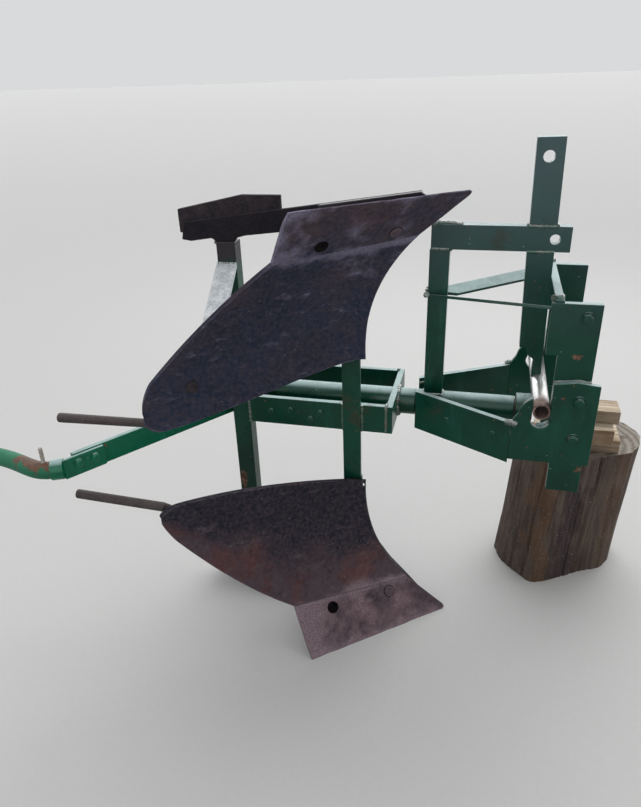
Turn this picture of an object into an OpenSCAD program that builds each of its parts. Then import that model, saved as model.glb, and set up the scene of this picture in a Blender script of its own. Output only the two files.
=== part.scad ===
// Small home-made turnover plough with two mirrored single-furrow bodies.
// X points the way the plough travels, Y to its left, Z up from the ground.
// Lengths are millimetres. Heights above the ground are named _z, heights above
// the turnover axis are named _up, and distances along X from the hitch tube _x.

/* [Turnover axis] */
// Height of the turnover axis above the ground
axis_z = 496; // [480:1:520]
// Diameter of the turnover shaft
shaft_d = 48; // [40:0.5:52]
// Outside diameter of the bearing sleeve and of the hub tube
sleeve_d = 60.3; // [57:0.1:70]
// Radial play of the shaft in its sleeve
shaft_play = 0.3; // [0.2:0.05:0.6]
// Front end of the bearing sleeve, behind the hitch tube
sleeve_front_x = -45; // [-60:1:-44]
// Rear end of the bearing sleeve
sleeve_rear_x = -260; // [-275:1:-250]
// Diameter of the collar that keeps the shaft in
collar_d = 76; // [66:1:90]

/* [Hitch] */
// Outside diameter of the hitch tube
tube_d = 33.7; // [30:0.1:40]
// Wall of the hitch tube
tube_wall = 3.25; // [2:0.05:5]
// Half the length of the hitch tube
tube_half = 160; // [158:1:190]
// Height of the hitch tube above the turnover axis
tube_up = 78.7; // [74:0.1:84]
// Diameter of the top-link hole in the mast
top_link_d = 22; // [18:0.5:26]

/* [Headstock] */
// Distance from the middle to the inner face of each side post
post_in = 128; // [120:1:140]
// Width of a side post
post_w = 91; // [80:1:100]
// Thickness of a side post
post_t = 15; // [12:0.5:20]
// Top of the side posts above the axis
post_up = 298; // [280:1:320]
// Top of the tall tube slot in the side posts above the axis
slot_up = 194; // [160:1:220]
// Thickness of an ear plate
ear_t = 12; // [8:0.5:16]
// Front edge of the ear plates
ear_front_x = 103; // [99:1:112]
// Bottom of the foot plates above the ground
foot_z = 385; // [370:1:400]
// Width of the mast
mast_w = 52; // [45:1:60]
// Depth of the mast, the top bar and the rear post
section_d = 25; // [20:1:30]
// Height of the mast above the ground
mast_z = 1068; // [1020:1:1120]
// Height of the top bar's lower edge above the ground
bar_z = 855; // [840:1:880]
// Height of the top bar's section
bar_h = 50; // [40:1:60]
// Diameter of the hole through the top bar
bar_hole_d = 20; // [12:1:26]
// Rear end of the top bar
bar_rear_x = -243; // [-255:1:-236]
// Front end of the top bar
bar_front_x = 28; // [15:1:40]
// Width of the rear post
rear_post_w = 41; // [35:1:50]
// Height of the slanted side arms
arm_h = 92; // [80:1:100]
// Thickness of the slanted side arms
arm_t = 12; // [8:0.5:16]
// Width of the two stay bars
stay_w = 34; // [28:1:40]
// Thickness of the stay bars and of the cross strap
stay_t = 6; // [5:0.5:9]

/* [Turning frame] */
// Half the width of the turning frame
frame_half = 105; // [98:1:108]
// Height of the frame bars
frame_h = 66; // [60:1:74]
// Thickness of the frame bars
frame_t = 14; // [10:0.5:18]
// Front face of the turning frame
frame_front_x = -303; // [-310:1:-296]
// Front face of the rear leg
rear_leg_x = -635; // [-645:1:-625]
// Width of the rear leg
rear_leg_w = 41; // [36:1:46]
// Depth of the rear leg
rear_leg_d = 35; // [30:1:40]
// Width of the front leg
front_leg_w = 40; // [34:1:46]
// Thickness of the front leg plate
leg_t = 12; // [9:0.5:12]

/* [Plough bodies] */
// Thickness of share and moldboard
sheet_t = 8; // [5:0.5:9]
// Slope of the share against the ground, in degrees
share_slope = 54; // [50:0.5:58]
// Width of the share at its point end
share_point_w = 101; // [98:1:106]
// Width of the share at its wing
share_wing_w = 125; // [118:1:132]
// Hollow of the moldboard as a share of its width
hollow = 0.115; // [0.08:0.005:0.14]
// Thickness of the landside bars
landside_t = 10; // [6:0.5:12]
// Length of the tail rods behind the moldboard
tail_rod_l = 190; // [120:1:240]
// Diameter of the tail rods
tail_rod_d = 20; // [14:1:24]
// Width of the flat braces from the rear leg to the moldboards
brace_w = 44; // [36:1:50]
// Thickness of the flat braces
brace_t = 8; // [6:0.5:10]

/* [Hand lever] */
// Height of the lever bar
lever_h = 48; // [40:1:56]
// Thickness of the lever bar
lever_t = 12; // [8:0.5:14]
// Diameter of the bent pipe grip
pipe_d = 36; // [30:0.5:40]

/* [Stump] */
// Height of the low block between the stump and the far foot
low_block_h = 35; // [25:1:45]
// Height of the middle block
block_h = 40; // [30:1:50]

/* [Hidden] */

// Finishes
green = [0.09, 0.21, 0.17];
bright_green = [0.13, 0.32, 0.20];
steel = [0.45, 0.44, 0.43];
slate = [0.27, 0.25, 0.29];
rusty = [0.38, 0.22, 0.16];
bark = [0.36, 0.29, 0.23];
pale_wood = [0.72, 0.62, 0.46];

// Common clearances
seat_gap = 0.2;
joint_gap = 1;
round_fn = 64;
big = 2000;

// Values that follow from the headstock's sizes
post_out = post_in + post_t;
ear_out = post_out + ear_t;
post_x = -5;
ear_up = 140;
ear_low_up = -38;
ear_rear_x = -55;
slot_low_up = 60;
slot_r = 20;
lobe = [3, 64];
lobe_r = 46;
ear_corners = [[60, 145], [14, 138], [-12, 106], [-40, 74], [ear_rear_x, 50]];
post_low_up = 4;
foot_x = 30;
foot_w = 64;
tube_r = tube_d / 2;
axis_r = sleeve_d / 2;
mast_low_x = -27;
mast_lean = 1;
link_hole_back = 4;
link_hole_drop = 34;
bar_hole_x = -2;
stay_rear_up = 264;
stay_tip = 18;
stay_reach = 8;
stay_drop = 6;
strap_w = 16;
strap_gap = 2;
arm_inset = 6;
cut_spare = 30;

// Values that follow from the turning frame's sizes
cross_rear_x = rear_leg_x - frame_t;
leg_rear_x = rear_leg_x - rear_leg_w;
near_face = -frame_half;
leg_face = near_face - leg_t;
front_leg_x = -412;

// Corner points of a plough body, as it stands on the ground
shin_y = leg_face - sheet_t;
share_tip = [-156, shin_y, 0];
share_wing = [-440, -355, 0];
share_turn = atan2(share_wing[1] - share_tip[1], share_wing[0] - share_tip[0]);
share_l = norm(share_wing - share_tip);
// Places on the share, as [along the cutting edge, up the slope]
share_low_joint = [80, share_point_w];
share_high_joint = [share_l + 6, share_wing_w];

function share_point(p) =
    share_tip + p[0] * [cos(share_turn), sin(share_turn), 0]
    + p[1] * [sin(share_turn) * cos(share_slope), -cos(share_turn) * cos(share_slope), sin(share_slope)];

shin_top = [-358, shin_y, 344];
tail_trim = 0.26;
shin_low = share_point(share_low_joint + [0, joint_gap]);
wing_joint = share_point(share_high_joint + [0, joint_gap]);
tail_low = [-744, -385, 365];
tail_top = [-719, -404, 408];
bottom_bow = [-619, -360, 200];
top_bow = [[-420, shin_y, 342], [-600, -290, 412]];

// The moldboard is a sheet between a bottom and a top edge, in rows from shin to tail
rows = 14;
wing_row = 6;
columns = 8;
frog_rows = [1, 5];
frog_columns = [0, 6];
shin_bow = unit([shin_low[2] - shin_top[2], 0, shin_top[0] - shin_low[0]]);

function unit(v) = v / norm(v);
function mix(a, b, t) = a + (b - a) * t;
function bow3(a, b, c, t) = mix(mix(a, b, t), mix(b, c, t), t);
function bow4(a, b, c, d, t) = mix(bow3(a, b, c, t), bow3(b, c, d, t), t);

function bottom_line(i) =
    i <= wing_row
    ? mix(shin_low, wing_joint, i / wing_row)
    : bow3(wing_joint, bottom_bow, tail_low, (i - wing_row) / (rows - wing_row));
function top_line(i) = bow4(shin_top, top_bow[0], top_bow[1], tail_top, i / rows);
// Both corners of the tail are trimmed round
function trim(i) = i < rows ? 0 : tail_trim;
function bottom_edge(i) = mix(bottom_line(i), top_line(i), trim(i));
function top_edge(i) = mix(top_line(i), bottom_line(i), trim(i));
function row_back(i) =
    let (chord = top_edge(i) - bottom_edge(i),
         before = max(i - 1, 0),
         after = min(i + 1, rows),
         along = top_edge(after) + bottom_edge(after) - top_edge(before) - bottom_edge(before))
    unit(cross(along, chord));
function row_bow(i) = unit(mix(shin_bow, row_back(i), min(i / 3, 1)));
function face_point(i, j) =
    let (t = j / columns, low = bottom_edge(i), top = top_edge(i))
    mix(low, top, t) + row_bow(i) * hollow * norm(top - low) * 4 * t * (1 - t);
function face_back(i, j) =
    unit(cross(face_point(min(i + 1, rows), j) - face_point(max(i - 1, 0), j),
               face_point(i, min(j + 1, columns)) - face_point(i, max(j - 1, 0))));
function back_point(i, j, depth) = face_point(i, j) + face_back(i, j) * depth;

// Brace, tail rod and lever
brace_row = 10;
brace_column = 3;
brace_up = 46;
brace_gap = 0.6;
tail_rod_sides = 16;
tail_rod_end_z = 404;
tail_rod_gap = 0.5;
lever_turn = -124.5;
lever_l = 404;
lever_gap = 0.5;
lever_root = [leg_rear_x, near_face + rear_leg_d + lever_gap];
splice_from = 340;
splice_t = 8;
splice_lip = 2;
root_spare = 100;
socket_l = 26;
socket_d = 42;
pipe_bow = [[-940, -430], [-975, -446], [-1010, -414], [-1085, -404]];
pipe_rings = 12;
pipe_sides = 16;
pipe_bore = 28;
bore_l = 40;
// Wall left round the hole of the front cross bar, running gap and length of the collar, shaft end beyond it
eye_wall = 2;
collar_gap = 3;
collar_l = 33;
shaft_out = 4;
peg_d = 8;
peg_l = 34;
peg_at = 0.1;
pipe_turn = atan2(pipe_bow[1][1] - pipe_bow[0][1], pipe_bow[1][0] - pipe_bow[0][0]);
pipe_end_turn = atan2(pipe_bow[3][1] - pipe_bow[2][1], pipe_bow[3][0] - pipe_bow[2][0]);

// Outline of the stump on the ground, as [x, y], and how far its top leans over
stump_outline = [[-50, 137], [-31, 77], [-5, 50], [20, 24], [44, 2], [82, 18], [120, 41], [172, 75],
                 [224, 98], [249, 143], [258, 200], [228, 255], [150, 282], [50, 268], [-18, 208]];
stump_lean = [24, 6];
stump_h = foot_z - low_block_h;
stump_middle = [100, 140];

// Packing blocks, as length and width, and how far each lies inside the far post's inner face
low_block = [192, 85];
middle_block = [92, 88];
top_block = [105, 62];
low_in = 33;
middle_in = 62;
top_in = 28;
low_back = 10;
block_gap = 3;

// The plough stands with the middle of its own box over the origin
middle_x = (pipe_bow[3][0] + stump_outline[10][0] + stump_lean[0]) / 2;
middle_y = (pipe_bow[0][1] - pipe_d / 2 + stump_outline[12][1] + stump_lean[1]) / 2;

// Shared shapes
module at_axis() translate([0, 0, axis_z]) children();
module far_side() mirror([0, 1, 0]) children();
module upper_body() translate([0, 0, 2 * axis_z]) mirror([0, 0, 1]) children();

// A flat plate whose outline lies in X and Z, from y_low to y_low + thickness
module upright_plate(y_low, thickness)
    translate([0, y_low + thickness, 0]) rotate([90, 0, 0]) linear_extrude(thickness) children();

// A round bar along X
module x_bar(from_x, to_x, diameter)
    translate([from_x, 0, 0]) rotate([0, 90, 0]) cylinder(h = to_x - from_x, d = diameter, $fn = round_fn);

// A round bar along Y
module y_bar(x, up, half, diameter)
    translate([x, half, up]) rotate([90, 0, 0]) cylinder(h = 2 * half, d = diameter, $fn = round_fn);

// A ring of points round a line that runs along the given direction
function round_ring(centre, along, diameter, sides) =
    let (side = unit(cross(along, [0, 0, 1])), up = cross(side, along))
    [for (k = [0:sides - 1]) let (a = k * 360 / sides) centre + diameter / 2 * (cos(a) * side + sin(a) * up)];

// A closed skin over rings with the same number of points
module loft(rings) {
    n = len(rings[0]);
    last = len(rings) - 1;
    polyhedron(
        points = [for (ring = rings) each ring],
        faces = concat(
            [[for (k = [0:n - 1]) k]],
            [for (i = [0:last - 1], k = [0:n - 1])
                let (a = i * n + k, b = i * n + (k + 1) % n)
                each [[a, a + n, b], [b, a + n, b + n]]],
            [[for (k = [n - 1:-1:0]) last * n + k]]),
        convexity = 8);
}

// A closed skin between two grids of points, front[i][j] and back[i][j]
module slab(front, back) {
    m = len(front) - 1;
    n = len(front[0]) - 1;
    w = n + 1;
    b = (m + 1) * w;
    function quad(p, q, r, s) = [[p, q, r], [p, r, s]];
    polyhedron(
        points = concat([for (row = front) each row], [for (row = back) each row]),
        faces = concat(
            [for (i = [0:m - 1], j = [0:n - 1]) let (p = i * w + j) each quad(p, p + 1, p + w + 1, p + w)],
            [for (i = [0:m - 1], j = [0:n - 1]) let (p = b + i * w + j) each quad(p, p + w, p + w + 1, p + 1)],
            [for (i = [0:m - 1]) let (p = i * w) each quad(p, p + w, b + p + w, b + p)],
            [for (i = [0:m - 1]) let (p = i * w + n) each quad(p, b + p, b + p + w, p + w)],
            [for (j = [0:n - 1]) each quad(j, b + j, b + j + 1, j + 1)],
            [for (j = [0:n - 1]) let (p = m * w + j) each quad(p, p + 1, b + p + 1, b + p)]),
        convexity = 8);
}

// Headstock
module hitch_tube() color(steel) at_axis() difference() {
    y_bar(0, tube_up, tube_half, tube_d);
    y_bar(0, tube_up, tube_half + 1, tube_d - 2 * tube_wall);
}

// The tall slot that takes the hitch tube. It leaves the post open at its rear edge and the ear open at its top.
module tube_slot(top_up) {
    translate([0, slot_low_up]) circle(r = slot_r, $fn = round_fn);
    translate([-tube_r - seat_gap, slot_low_up]) square([tube_d + 2 * seat_gap, top_up - slot_low_up]);
}

module near_post() color(green) at_axis() upright_plate(-post_out, post_t) difference() {
    translate([post_x, post_low_up]) square([post_w, post_up - post_low_up]);
    tube_slot(slot_up);
}

module ear_outline() {
    translate(lobe) circle(r = lobe_r, $fn = round_fn);
    polygon(concat([[ear_rear_x, ear_low_up], [ear_front_x, ear_low_up], [ear_front_x, ear_up]], ear_corners));
}

module near_ear() color(green) at_axis() upright_plate(-ear_out, ear_t) difference() {
    ear_outline();
    tube_slot(2 * ear_up);
}

module near_foot() color(green)
    translate([foot_x, -post_out, foot_z]) cube([foot_w, post_t, axis_z + post_low_up - foot_z]);

// The mast stands on the top bar, with its lower part between the bar and the tube
module mast() color(green) difference() {
    translate([mast_low_x, 0, bar_z + bar_h])
        rotate([0, -mast_lean, 0])
            translate([-mast_w / 2, -section_d / 2, -5])
                cube([mast_w, section_d, mast_z - bar_z - bar_h + 5]);
    translate([-big / 2, -big / 2, bar_z + bar_h - big]) cube([big, big, big]);
    translate([mast_low_x - link_hole_back, 0, mast_z - link_hole_drop]) rotate([90, 0, 0])
        cylinder(h = section_d + 2, d = top_link_d, center = true, $fn = round_fn);
}

module mast_foot() color(green) difference() {
    tube_top = axis_z + tube_up + tube_r;
    left = mast_low_x - mast_w / 2;
    upright_plate(-section_d / 2, section_d)
        polygon([[left, bar_z], [left + mast_w, bar_z], [left + mast_w + 4, tube_top - 8], [-16, tube_top - 8],
                 [-16, tube_top + 33], [-30, tube_top + 44], [-33, tube_top + 59], [left + 6, tube_top + 59]]);
    at_axis() y_bar(0, tube_up, tube_half, tube_d + 2 * seat_gap);
}

module top_bar() color(green) difference() {
    translate([bar_rear_x, -section_d / 2, bar_z]) cube([bar_front_x - bar_rear_x, section_d, bar_h]);
    y_bar(bar_hole_x, bar_z + bar_h / 2, section_d, bar_hole_d);
}

module rear_post() color(green) difference() {
    translate([bar_rear_x - 2, -section_d / 2, axis_z]) cube([rear_post_w, section_d, bar_z - axis_z]);
    at_axis() x_bar(-big, big, sleeve_d + 2 * seat_gap);
}

// A flat stay bar from the rear post's near face to the side post, tipped up on its outer edge
module near_stay_bar() color(green) difference() {
    from = [bar_rear_x - stay_reach, -section_d / 2 - seat_gap, axis_z + stay_rear_up];
    to = [post_x, -post_out, axis_z + post_up - stay_drop];
    run = to - from;
    translate(from) rotate([0, -atan2(run[2], norm([run[0], run[1]])), atan2(run[1], run[0])])
        rotate([-stay_tip, 0, 0]) translate([0, 0, -stay_t]) cube([norm(run) + cut_spare, stay_w, stay_t]);
    translate([post_x - seat_gap, -big / 2, 0]) cube([big, big, big]);
    translate([-big / 2, -section_d / 2 - seat_gap, 0]) cube([big, big, big]);
}

module cross_strap() color(steel)
    translate([mast_low_x + mast_w / 2 + strap_gap, -post_out, axis_z + post_up])
        cube([strap_w, 2 * post_out, stay_t]);

// A slanted side arm from the sleeve to the ear plate
module near_arm() color(green) at_axis() difference() {
    back = [sleeve_rear_x, -axis_r - arm_inset];
    front = [ear_rear_x, -post_out - ear_t / 2];
    run = front - back;
    translate([back[0], back[1], -arm_h / 2]) rotate([0, 0, atan2(run[1], run[0])])
        translate([-cut_spare, -arm_t / 2, 0]) cube([norm(run) + 2 * cut_spare, arm_t, arm_h]);
    x_bar(-big, big, sleeve_d + 2 * seat_gap);
    translate([ear_rear_x, -big / 2, -big / 2]) cube([big, big, big]);
    translate([sleeve_rear_x - big, -big / 2, -big / 2]) cube([big, big, big]);
}

module bearing_sleeve() color(green) at_axis() difference() {
    x_bar(sleeve_rear_x, sleeve_front_x, sleeve_d);
    x_bar(sleeve_rear_x - 1, sleeve_front_x + 1, shaft_d + 2 * shaft_play);
}

// Stump and blocks
function stump_ring(h, swell) = [for (p = stump_outline)
    [mix(stump_middle[0], p[0], swell) + stump_lean[0] * h,
     mix(stump_middle[1], p[1], swell) + stump_lean[1] * h, stump_h * h]];

module stump() color(bark) loft([stump_ring(0, 1), stump_ring(0.35, 0.985), stump_ring(0.7, 0.99), stump_ring(1, 0.98)]);

module low_block() color(pale_wood)
    translate([foot_x - low_back, post_in - low_in, stump_h]) cube([low_block[0], low_block[1], low_block_h]);
module middle_block() color(pale_wood)
    translate([foot_x + foot_w + block_gap, post_in - middle_in, foot_z])
        cube([middle_block[0], middle_block[1], block_h]);
module top_block() color(pale_wood)
    translate([foot_x + foot_w + block_gap, post_in - top_in, foot_z + block_h])
        cube([top_block[0], top_block[1], axis_z + ear_low_up - foot_z - block_h]);

// Turning frame
module turnover_shaft() color(steel) at_axis() x_bar(cross_rear_x, sleeve_front_x + collar_gap + collar_l + shaft_out, shaft_d);
module hub_tube() color(green) at_axis() difference() {
    x_bar(rear_leg_x, sleeve_rear_x - collar_gap, sleeve_d);
    x_bar(rear_leg_x - 1, sleeve_rear_x, shaft_d + 2 * seat_gap);
}
module shaft_collar() color(green) at_axis() difference() {
    x_bar(sleeve_front_x + collar_gap, sleeve_front_x + collar_gap + collar_l, collar_d);
    x_bar(sleeve_front_x, sleeve_front_x + collar_gap + collar_l + 1, shaft_d + 2 * seat_gap);
}
module near_bar() color(green)
    translate([rear_leg_x, near_face, axis_z - frame_h / 2])
        cube([frame_front_x - frame_t - rear_leg_x, frame_t, frame_h]);
module far_bar() color(green) far_side() near_bar();
module front_cross() color(green) at_axis() difference() {
    union() {
        translate([frame_front_x - frame_t, -frame_half, -frame_h / 2]) cube([frame_t, 2 * frame_half, frame_h]);
        x_bar(frame_front_x - frame_t, frame_front_x, sleeve_d + 2 * (seat_gap + eye_wall));
    }
    x_bar(-big, big, sleeve_d + 2 * seat_gap);
}
module rear_cross() color(green) at_axis() difference() {
    translate([cross_rear_x, near_face + rear_leg_d, -frame_h / 2])
        cube([frame_t, 2 * frame_half - rear_leg_d, frame_h]);
    x_bar(-big, big, shaft_d + 2 * seat_gap);
}

// Heights of the landside's edges above the ground, by distance along X
landside_slope = 0.1355;
function landside_low(x) = 72 - landside_slope * (x + 744);
landside_front_x = -255;
neck_z = 111;

// The front leg is one plate that widens into a frog plate behind each shin
function leg_shin(t) =
    mix(shin_low, shin_top, t) + shin_bow * hollow * norm(shin_top - shin_low) * 4 * t * (1 - t) - [11, 0, 0];
function leg_half_outline() = concat(
    [[front_leg_x, axis_z], [front_leg_x, 130], [front_leg_x - 40, 82], [front_leg_x - 40, landside_low(front_leg_x - 40)]],
    [[landside_front_x, landside_low(landside_front_x)], [-222, 30]],
    [for (k = [0:6]) let (p = leg_shin(k / 6)) [p[0], p[2]]],
    [[front_leg_x + front_leg_w, shin_top[2] + 8], [front_leg_x + front_leg_w, axis_z]]);
module front_leg() color(green) upright_plate(leg_face, leg_t) {
    half = leg_half_outline();
    polygon(concat(half, [for (k = [len(half) - 2:-1:1]) [half[k][0], 2 * axis_z - half[k][1]]]));
}

module rear_leg() color(green)
    translate([leg_rear_x, near_face, neck_z]) cube([rear_leg_w, rear_leg_d, 2 * (axis_z - neck_z)]);

// Lower plough body
module lower_landside() color(green) upright_plate(near_face, landside_t)
    polygon([[-744, landside_low(-744)], [landside_front_x, landside_low(landside_front_x)],
             [landside_front_x - 18, 62], [-539, 89], [rear_leg_x + 25, 97], [rear_leg_x + 6, 102],
             [rear_leg_x, neck_z], [leg_rear_x, neck_z], [leg_rear_x - 4, 107], [leg_rear_x - 9, 104],
             [-731, 111], [-751, 108]]);
module wear_strip(reach) color(rusty) upright_plate(near_face + landside_t, landside_t)
    polygon([[-758, 48 - reach * 0.7], [-616, 18 - reach], [-534, 18 - reach], [-534, 84], [-758, 96]]);
module lower_wear_strip() wear_strip(18);

module lower_share() color(steel) difference() {
    translate(share_tip) rotate([180 - share_slope, 0, share_turn]) linear_extrude(sheet_t)
        polygon([[0, 0], [share_l, 0], share_high_joint, share_low_joint]);
    translate([-big, -big / 2, -big]) cube([big, big, big]);
}

module lower_moldboard() color(slate) slab(
    [for (i = [0:rows]) [for (j = [0:columns]) face_point(i, j)]],
    [for (i = [0:rows]) [for (j = [0:columns]) back_point(i, j, sheet_t)]]);

// The frog fills the space between the moldboard's back and the front leg
module lower_frog() color(green) slab(
    [for (i = [frog_rows[0]:frog_rows[1]]) [for (j = [frog_columns[0]:frog_columns[1]])
        back_point(i, j, sheet_t + seat_gap)]],
    [for (i = [frog_rows[0]:frog_rows[1]]) [for (j = [frog_columns[0]:frog_columns[1]])
        let (p = back_point(i, j, sheet_t + seat_gap)) [p[0], leg_face, p[2]]]]);

// The tail rod is a round bar that lies on the moldboard's back and runs on behind it
function rod_seat(i) = back_point(i, columns / 2, sheet_t + tail_rod_d / 2 + tail_rod_gap);
module lower_tail_rod() color(rusty) {
    line = [rod_seat(rows - 1), rod_seat(rows), [tail_low[0] - tail_rod_l, rod_seat(rows)[1], tail_rod_end_z]];
    ahead = unit(line[1] - line[0]);
    behind = unit(line[2] - line[1]);
    loft([
        round_ring(line[0], ahead, tail_rod_d, tail_rod_sides),
        round_ring(line[1], unit(ahead + behind), tail_rod_d, tail_rod_sides),
        round_ring(line[2], behind, tail_rod_d, tail_rod_sides)]);
}

// A flat brace from the rear leg to the moldboard's back, with its ends cut to lie flat
function slide_to(p, d, q, n) = p + d * (((q - p) * n) / (d * n));
module lower_stay() color(green) {
    foot = [rear_leg_x - rear_leg_w / 2, near_face, neck_z + brace_up];
    seat = back_point(brace_row, brace_column, sheet_t + brace_gap);
    n = face_back(brace_row, brace_column);
    d = unit(seat - foot);
    side = unit(cross(d, [1, 0, 0]));
    up = cross(side, d);
    ring = [for (c = [[1, 1], [-1, 1], [-1, -1], [1, -1]]) c[0] * side * brace_t / 2 + c[1] * up * brace_w / 2];
    loft([
        [for (r = ring) slide_to(foot + r, d, foot, [0, 1, 0])],
        [for (r = ring) slide_to(seat + r, d, seat, n)]]);
}

// Hand lever, in its own frame along the bar from the corner of the rear leg
module at_lever() translate([lever_root[0], lever_root[1], axis_z]) rotate([0, 0, lever_turn]) children();
module ahead_of_socket() translate([pipe_bow[0][0], pipe_bow[0][1], axis_z]) rotate([0, 0, pipe_turn])
    translate([-socket_l, -big / 2, -big / 2]) cube([big, big, big]);
module lever_bar() color(bright_green) difference() {
    at_lever() translate([-root_spare, -lever_t, -lever_h / 2]) cube([lever_l + root_spare, lever_t, lever_h]);
    translate([cross_rear_x, -big / 2, 0]) cube([big, big, big]);
    ahead_of_socket();
}
module lever_splice() color(bright_green) difference() {
    at_lever() translate([splice_from, 0, -lever_h / 2 + splice_lip])
        cube([lever_l - splice_from + 2 * cut_spare, splice_t, lever_h - 2 * splice_lip]);
    ahead_of_socket();
}
module lever_socket() color(bright_green)
    translate([pipe_bow[0][0], pipe_bow[0][1], axis_z]) rotate([0, 0, pipe_turn]) rotate([0, -90, 0])
        cylinder(h = socket_l, d = socket_d, $fn = round_fn);

function pipe_middle(t) = let (p = bow4(pipe_bow[0], pipe_bow[1], pipe_bow[2], pipe_bow[3], t)) [p[0], p[1], axis_z];
function pipe_ring(t) = round_ring(pipe_middle(t), unit(pipe_middle(t + 0.01) - pipe_middle(t - 0.01)), pipe_d, pipe_sides);
module lever_pipe() color(rusty) difference() {
    loft([for (k = [0:pipe_rings]) pipe_ring(k / pipe_rings)]);
    translate(pipe_middle(1)) rotate([0, 0, pipe_end_turn]) rotate([0, -90, 0])
        cylinder(h = bore_l, d = pipe_bore, $fn = round_fn);
}
module lever_peg() color(steel)
    translate(pipe_middle(peg_at) + [0, 0, pipe_d / 2 + seat_gap]) cylinder(h = peg_l, d = peg_d, $fn = round_fn);

// The whole plough is moved so that the origin lies under the middle of its box
translate([-middle_x, -middle_y, 0]) {
    hitch_tube();
    near_post();
    far_side() near_post();  // far_post
    near_ear();
    far_side() near_ear();  // far_ear
    near_foot();
    far_side() near_foot();  // far_foot
    mast();
    mast_foot();
    top_bar();
    rear_post();
    near_stay_bar();
    far_side() near_stay_bar();  // far_stay_bar
    cross_strap();
    near_arm();
    far_side() near_arm();  // far_arm
    bearing_sleeve();
    stump();
    low_block();
    middle_block();
    top_block();
    turnover_shaft();
    hub_tube();
    shaft_collar();
    near_bar();
    far_bar();
    front_cross();
    rear_cross();
    front_leg();
    rear_leg();
    lower_landside();
    lower_wear_strip();
    lower_frog();
    lower_share();
    lower_moldboard();
    lower_tail_rod();
    lower_stay();
    upper_body() lower_landside();  // upper_landside
    upper_body() wear_strip(0);  // upper_wear_strip
    upper_body() lower_frog();  // upper_frog
    upper_body() lower_share();  // upper_share
    upper_body() lower_moldboard();  // upper_moldboard
    upper_body() lower_tail_rod();  // upper_tail_rod
    upper_body() lower_stay();  // upper_stay
    lever_bar();
    lever_splice();
    lever_socket();
    lever_pipe();
    lever_peg();
}
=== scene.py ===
"""Looks of a small home-made turnover plough that stands parked on a stump.

The file is laid out as an add-on and run as a script. Lengths are metres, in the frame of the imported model.
"""

import math

import bmesh
import bpy
from mathutils import Matrix, Vector, noise


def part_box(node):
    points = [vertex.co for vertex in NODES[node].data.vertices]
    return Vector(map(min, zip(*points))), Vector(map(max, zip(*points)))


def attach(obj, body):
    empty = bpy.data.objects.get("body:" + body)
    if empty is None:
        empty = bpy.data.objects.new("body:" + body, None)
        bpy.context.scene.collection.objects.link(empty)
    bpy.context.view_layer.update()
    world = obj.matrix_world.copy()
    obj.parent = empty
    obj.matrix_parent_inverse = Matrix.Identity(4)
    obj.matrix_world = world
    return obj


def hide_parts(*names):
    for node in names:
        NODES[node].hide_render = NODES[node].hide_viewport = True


bl_info = {
    "name": "Turnover Plough",
    "version": (1, 0, 0),
    "blender": (4, 5, 0),
    "location": "3D View > Sidebar > Plough",
    "description": "Paint, steel, wood, welds and bolts of a small turnover plough",
    "category": "Object",
}

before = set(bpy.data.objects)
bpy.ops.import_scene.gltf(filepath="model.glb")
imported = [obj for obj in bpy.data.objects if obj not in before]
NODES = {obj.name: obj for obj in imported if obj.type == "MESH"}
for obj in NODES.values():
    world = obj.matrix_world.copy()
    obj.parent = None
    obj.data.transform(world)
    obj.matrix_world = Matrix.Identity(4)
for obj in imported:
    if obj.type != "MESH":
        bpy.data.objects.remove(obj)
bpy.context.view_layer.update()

# The two bodies of the frame, and where the plough's own measure starts
STILL = "headstock"
TURNING = "turning_frame"
TUBE_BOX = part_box("hitch_tube")
SHAFT_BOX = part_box("turnover_shaft")
START = Vector(((TUBE_BOX[0].x + TUBE_BOX[1].x) / 2, (TUBE_BOX[0].y + TUBE_BOX[1].y) / 2, 0))
AXIS_Z = (SHAFT_BOX[0].z + SHAFT_BOX[1].z) / 2


def at(x, y, z):
    """A point given in millimetres from the hitch tube's middle, on the ground, as metres in the frame."""
    return Vector((x, y, z)) / 1000 + START


def turned_over(point):
    """The same point on the other plough body, mirrored across the turnover axis."""
    return Vector((point.x, point.y, 2 * AXIS_Z - point.z))


def body_side(upper):
    """A plough body's name, and how the lower body's points and directions become its own."""
    if upper:
        return "upper", turned_over, Vector((1, 1, -1))
    return "lower", Vector, Vector((1, 1, 1))


# Sizes and colours that a user would change
class PaintLook(bpy.types.PropertyGroup):
    frame_green: bpy.props.FloatVectorProperty(
        name="Frame green", description="Colour of the brushed paint on frame and headstock",
        subtype="COLOR", size=3, min=0, max=1, default=(0.0022, 0.056, 0.032))
    lever_green: bpy.props.FloatVectorProperty(
        name="Lever green", description="Colour of the fresher paint on the hand lever",
        subtype="COLOR", size=3, min=0, max=1, default=(0.006, 0.150, 0.078))
    gloss_roughness: bpy.props.FloatProperty(
        name="Paint roughness", description="Roughness of sound paint", min=0, max=1, default=0.3)
    edge_round: bpy.props.FloatProperty(
        name="Edge rounding", description="Radius on the edges of the flat bars", subtype="DISTANCE",
        unit="LENGTH", default=0.0016)


class BodyLook(bpy.types.PropertyGroup):
    hollow: bpy.props.FloatProperty(
        name="Hollow", description="Hollow of the moldboard as a share of its width", default=0.115)
    sheet: bpy.props.FloatProperty(
        name="Sheet thickness", description="Thickness of share and moldboard", subtype="DISTANCE",
        unit="LENGTH", default=0.008)
    dents: bpy.props.FloatProperty(
        name="Dents", description="Depth of the dents in the moldboards", subtype="DISTANCE",
        unit="LENGTH", default=0.0008)


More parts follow.
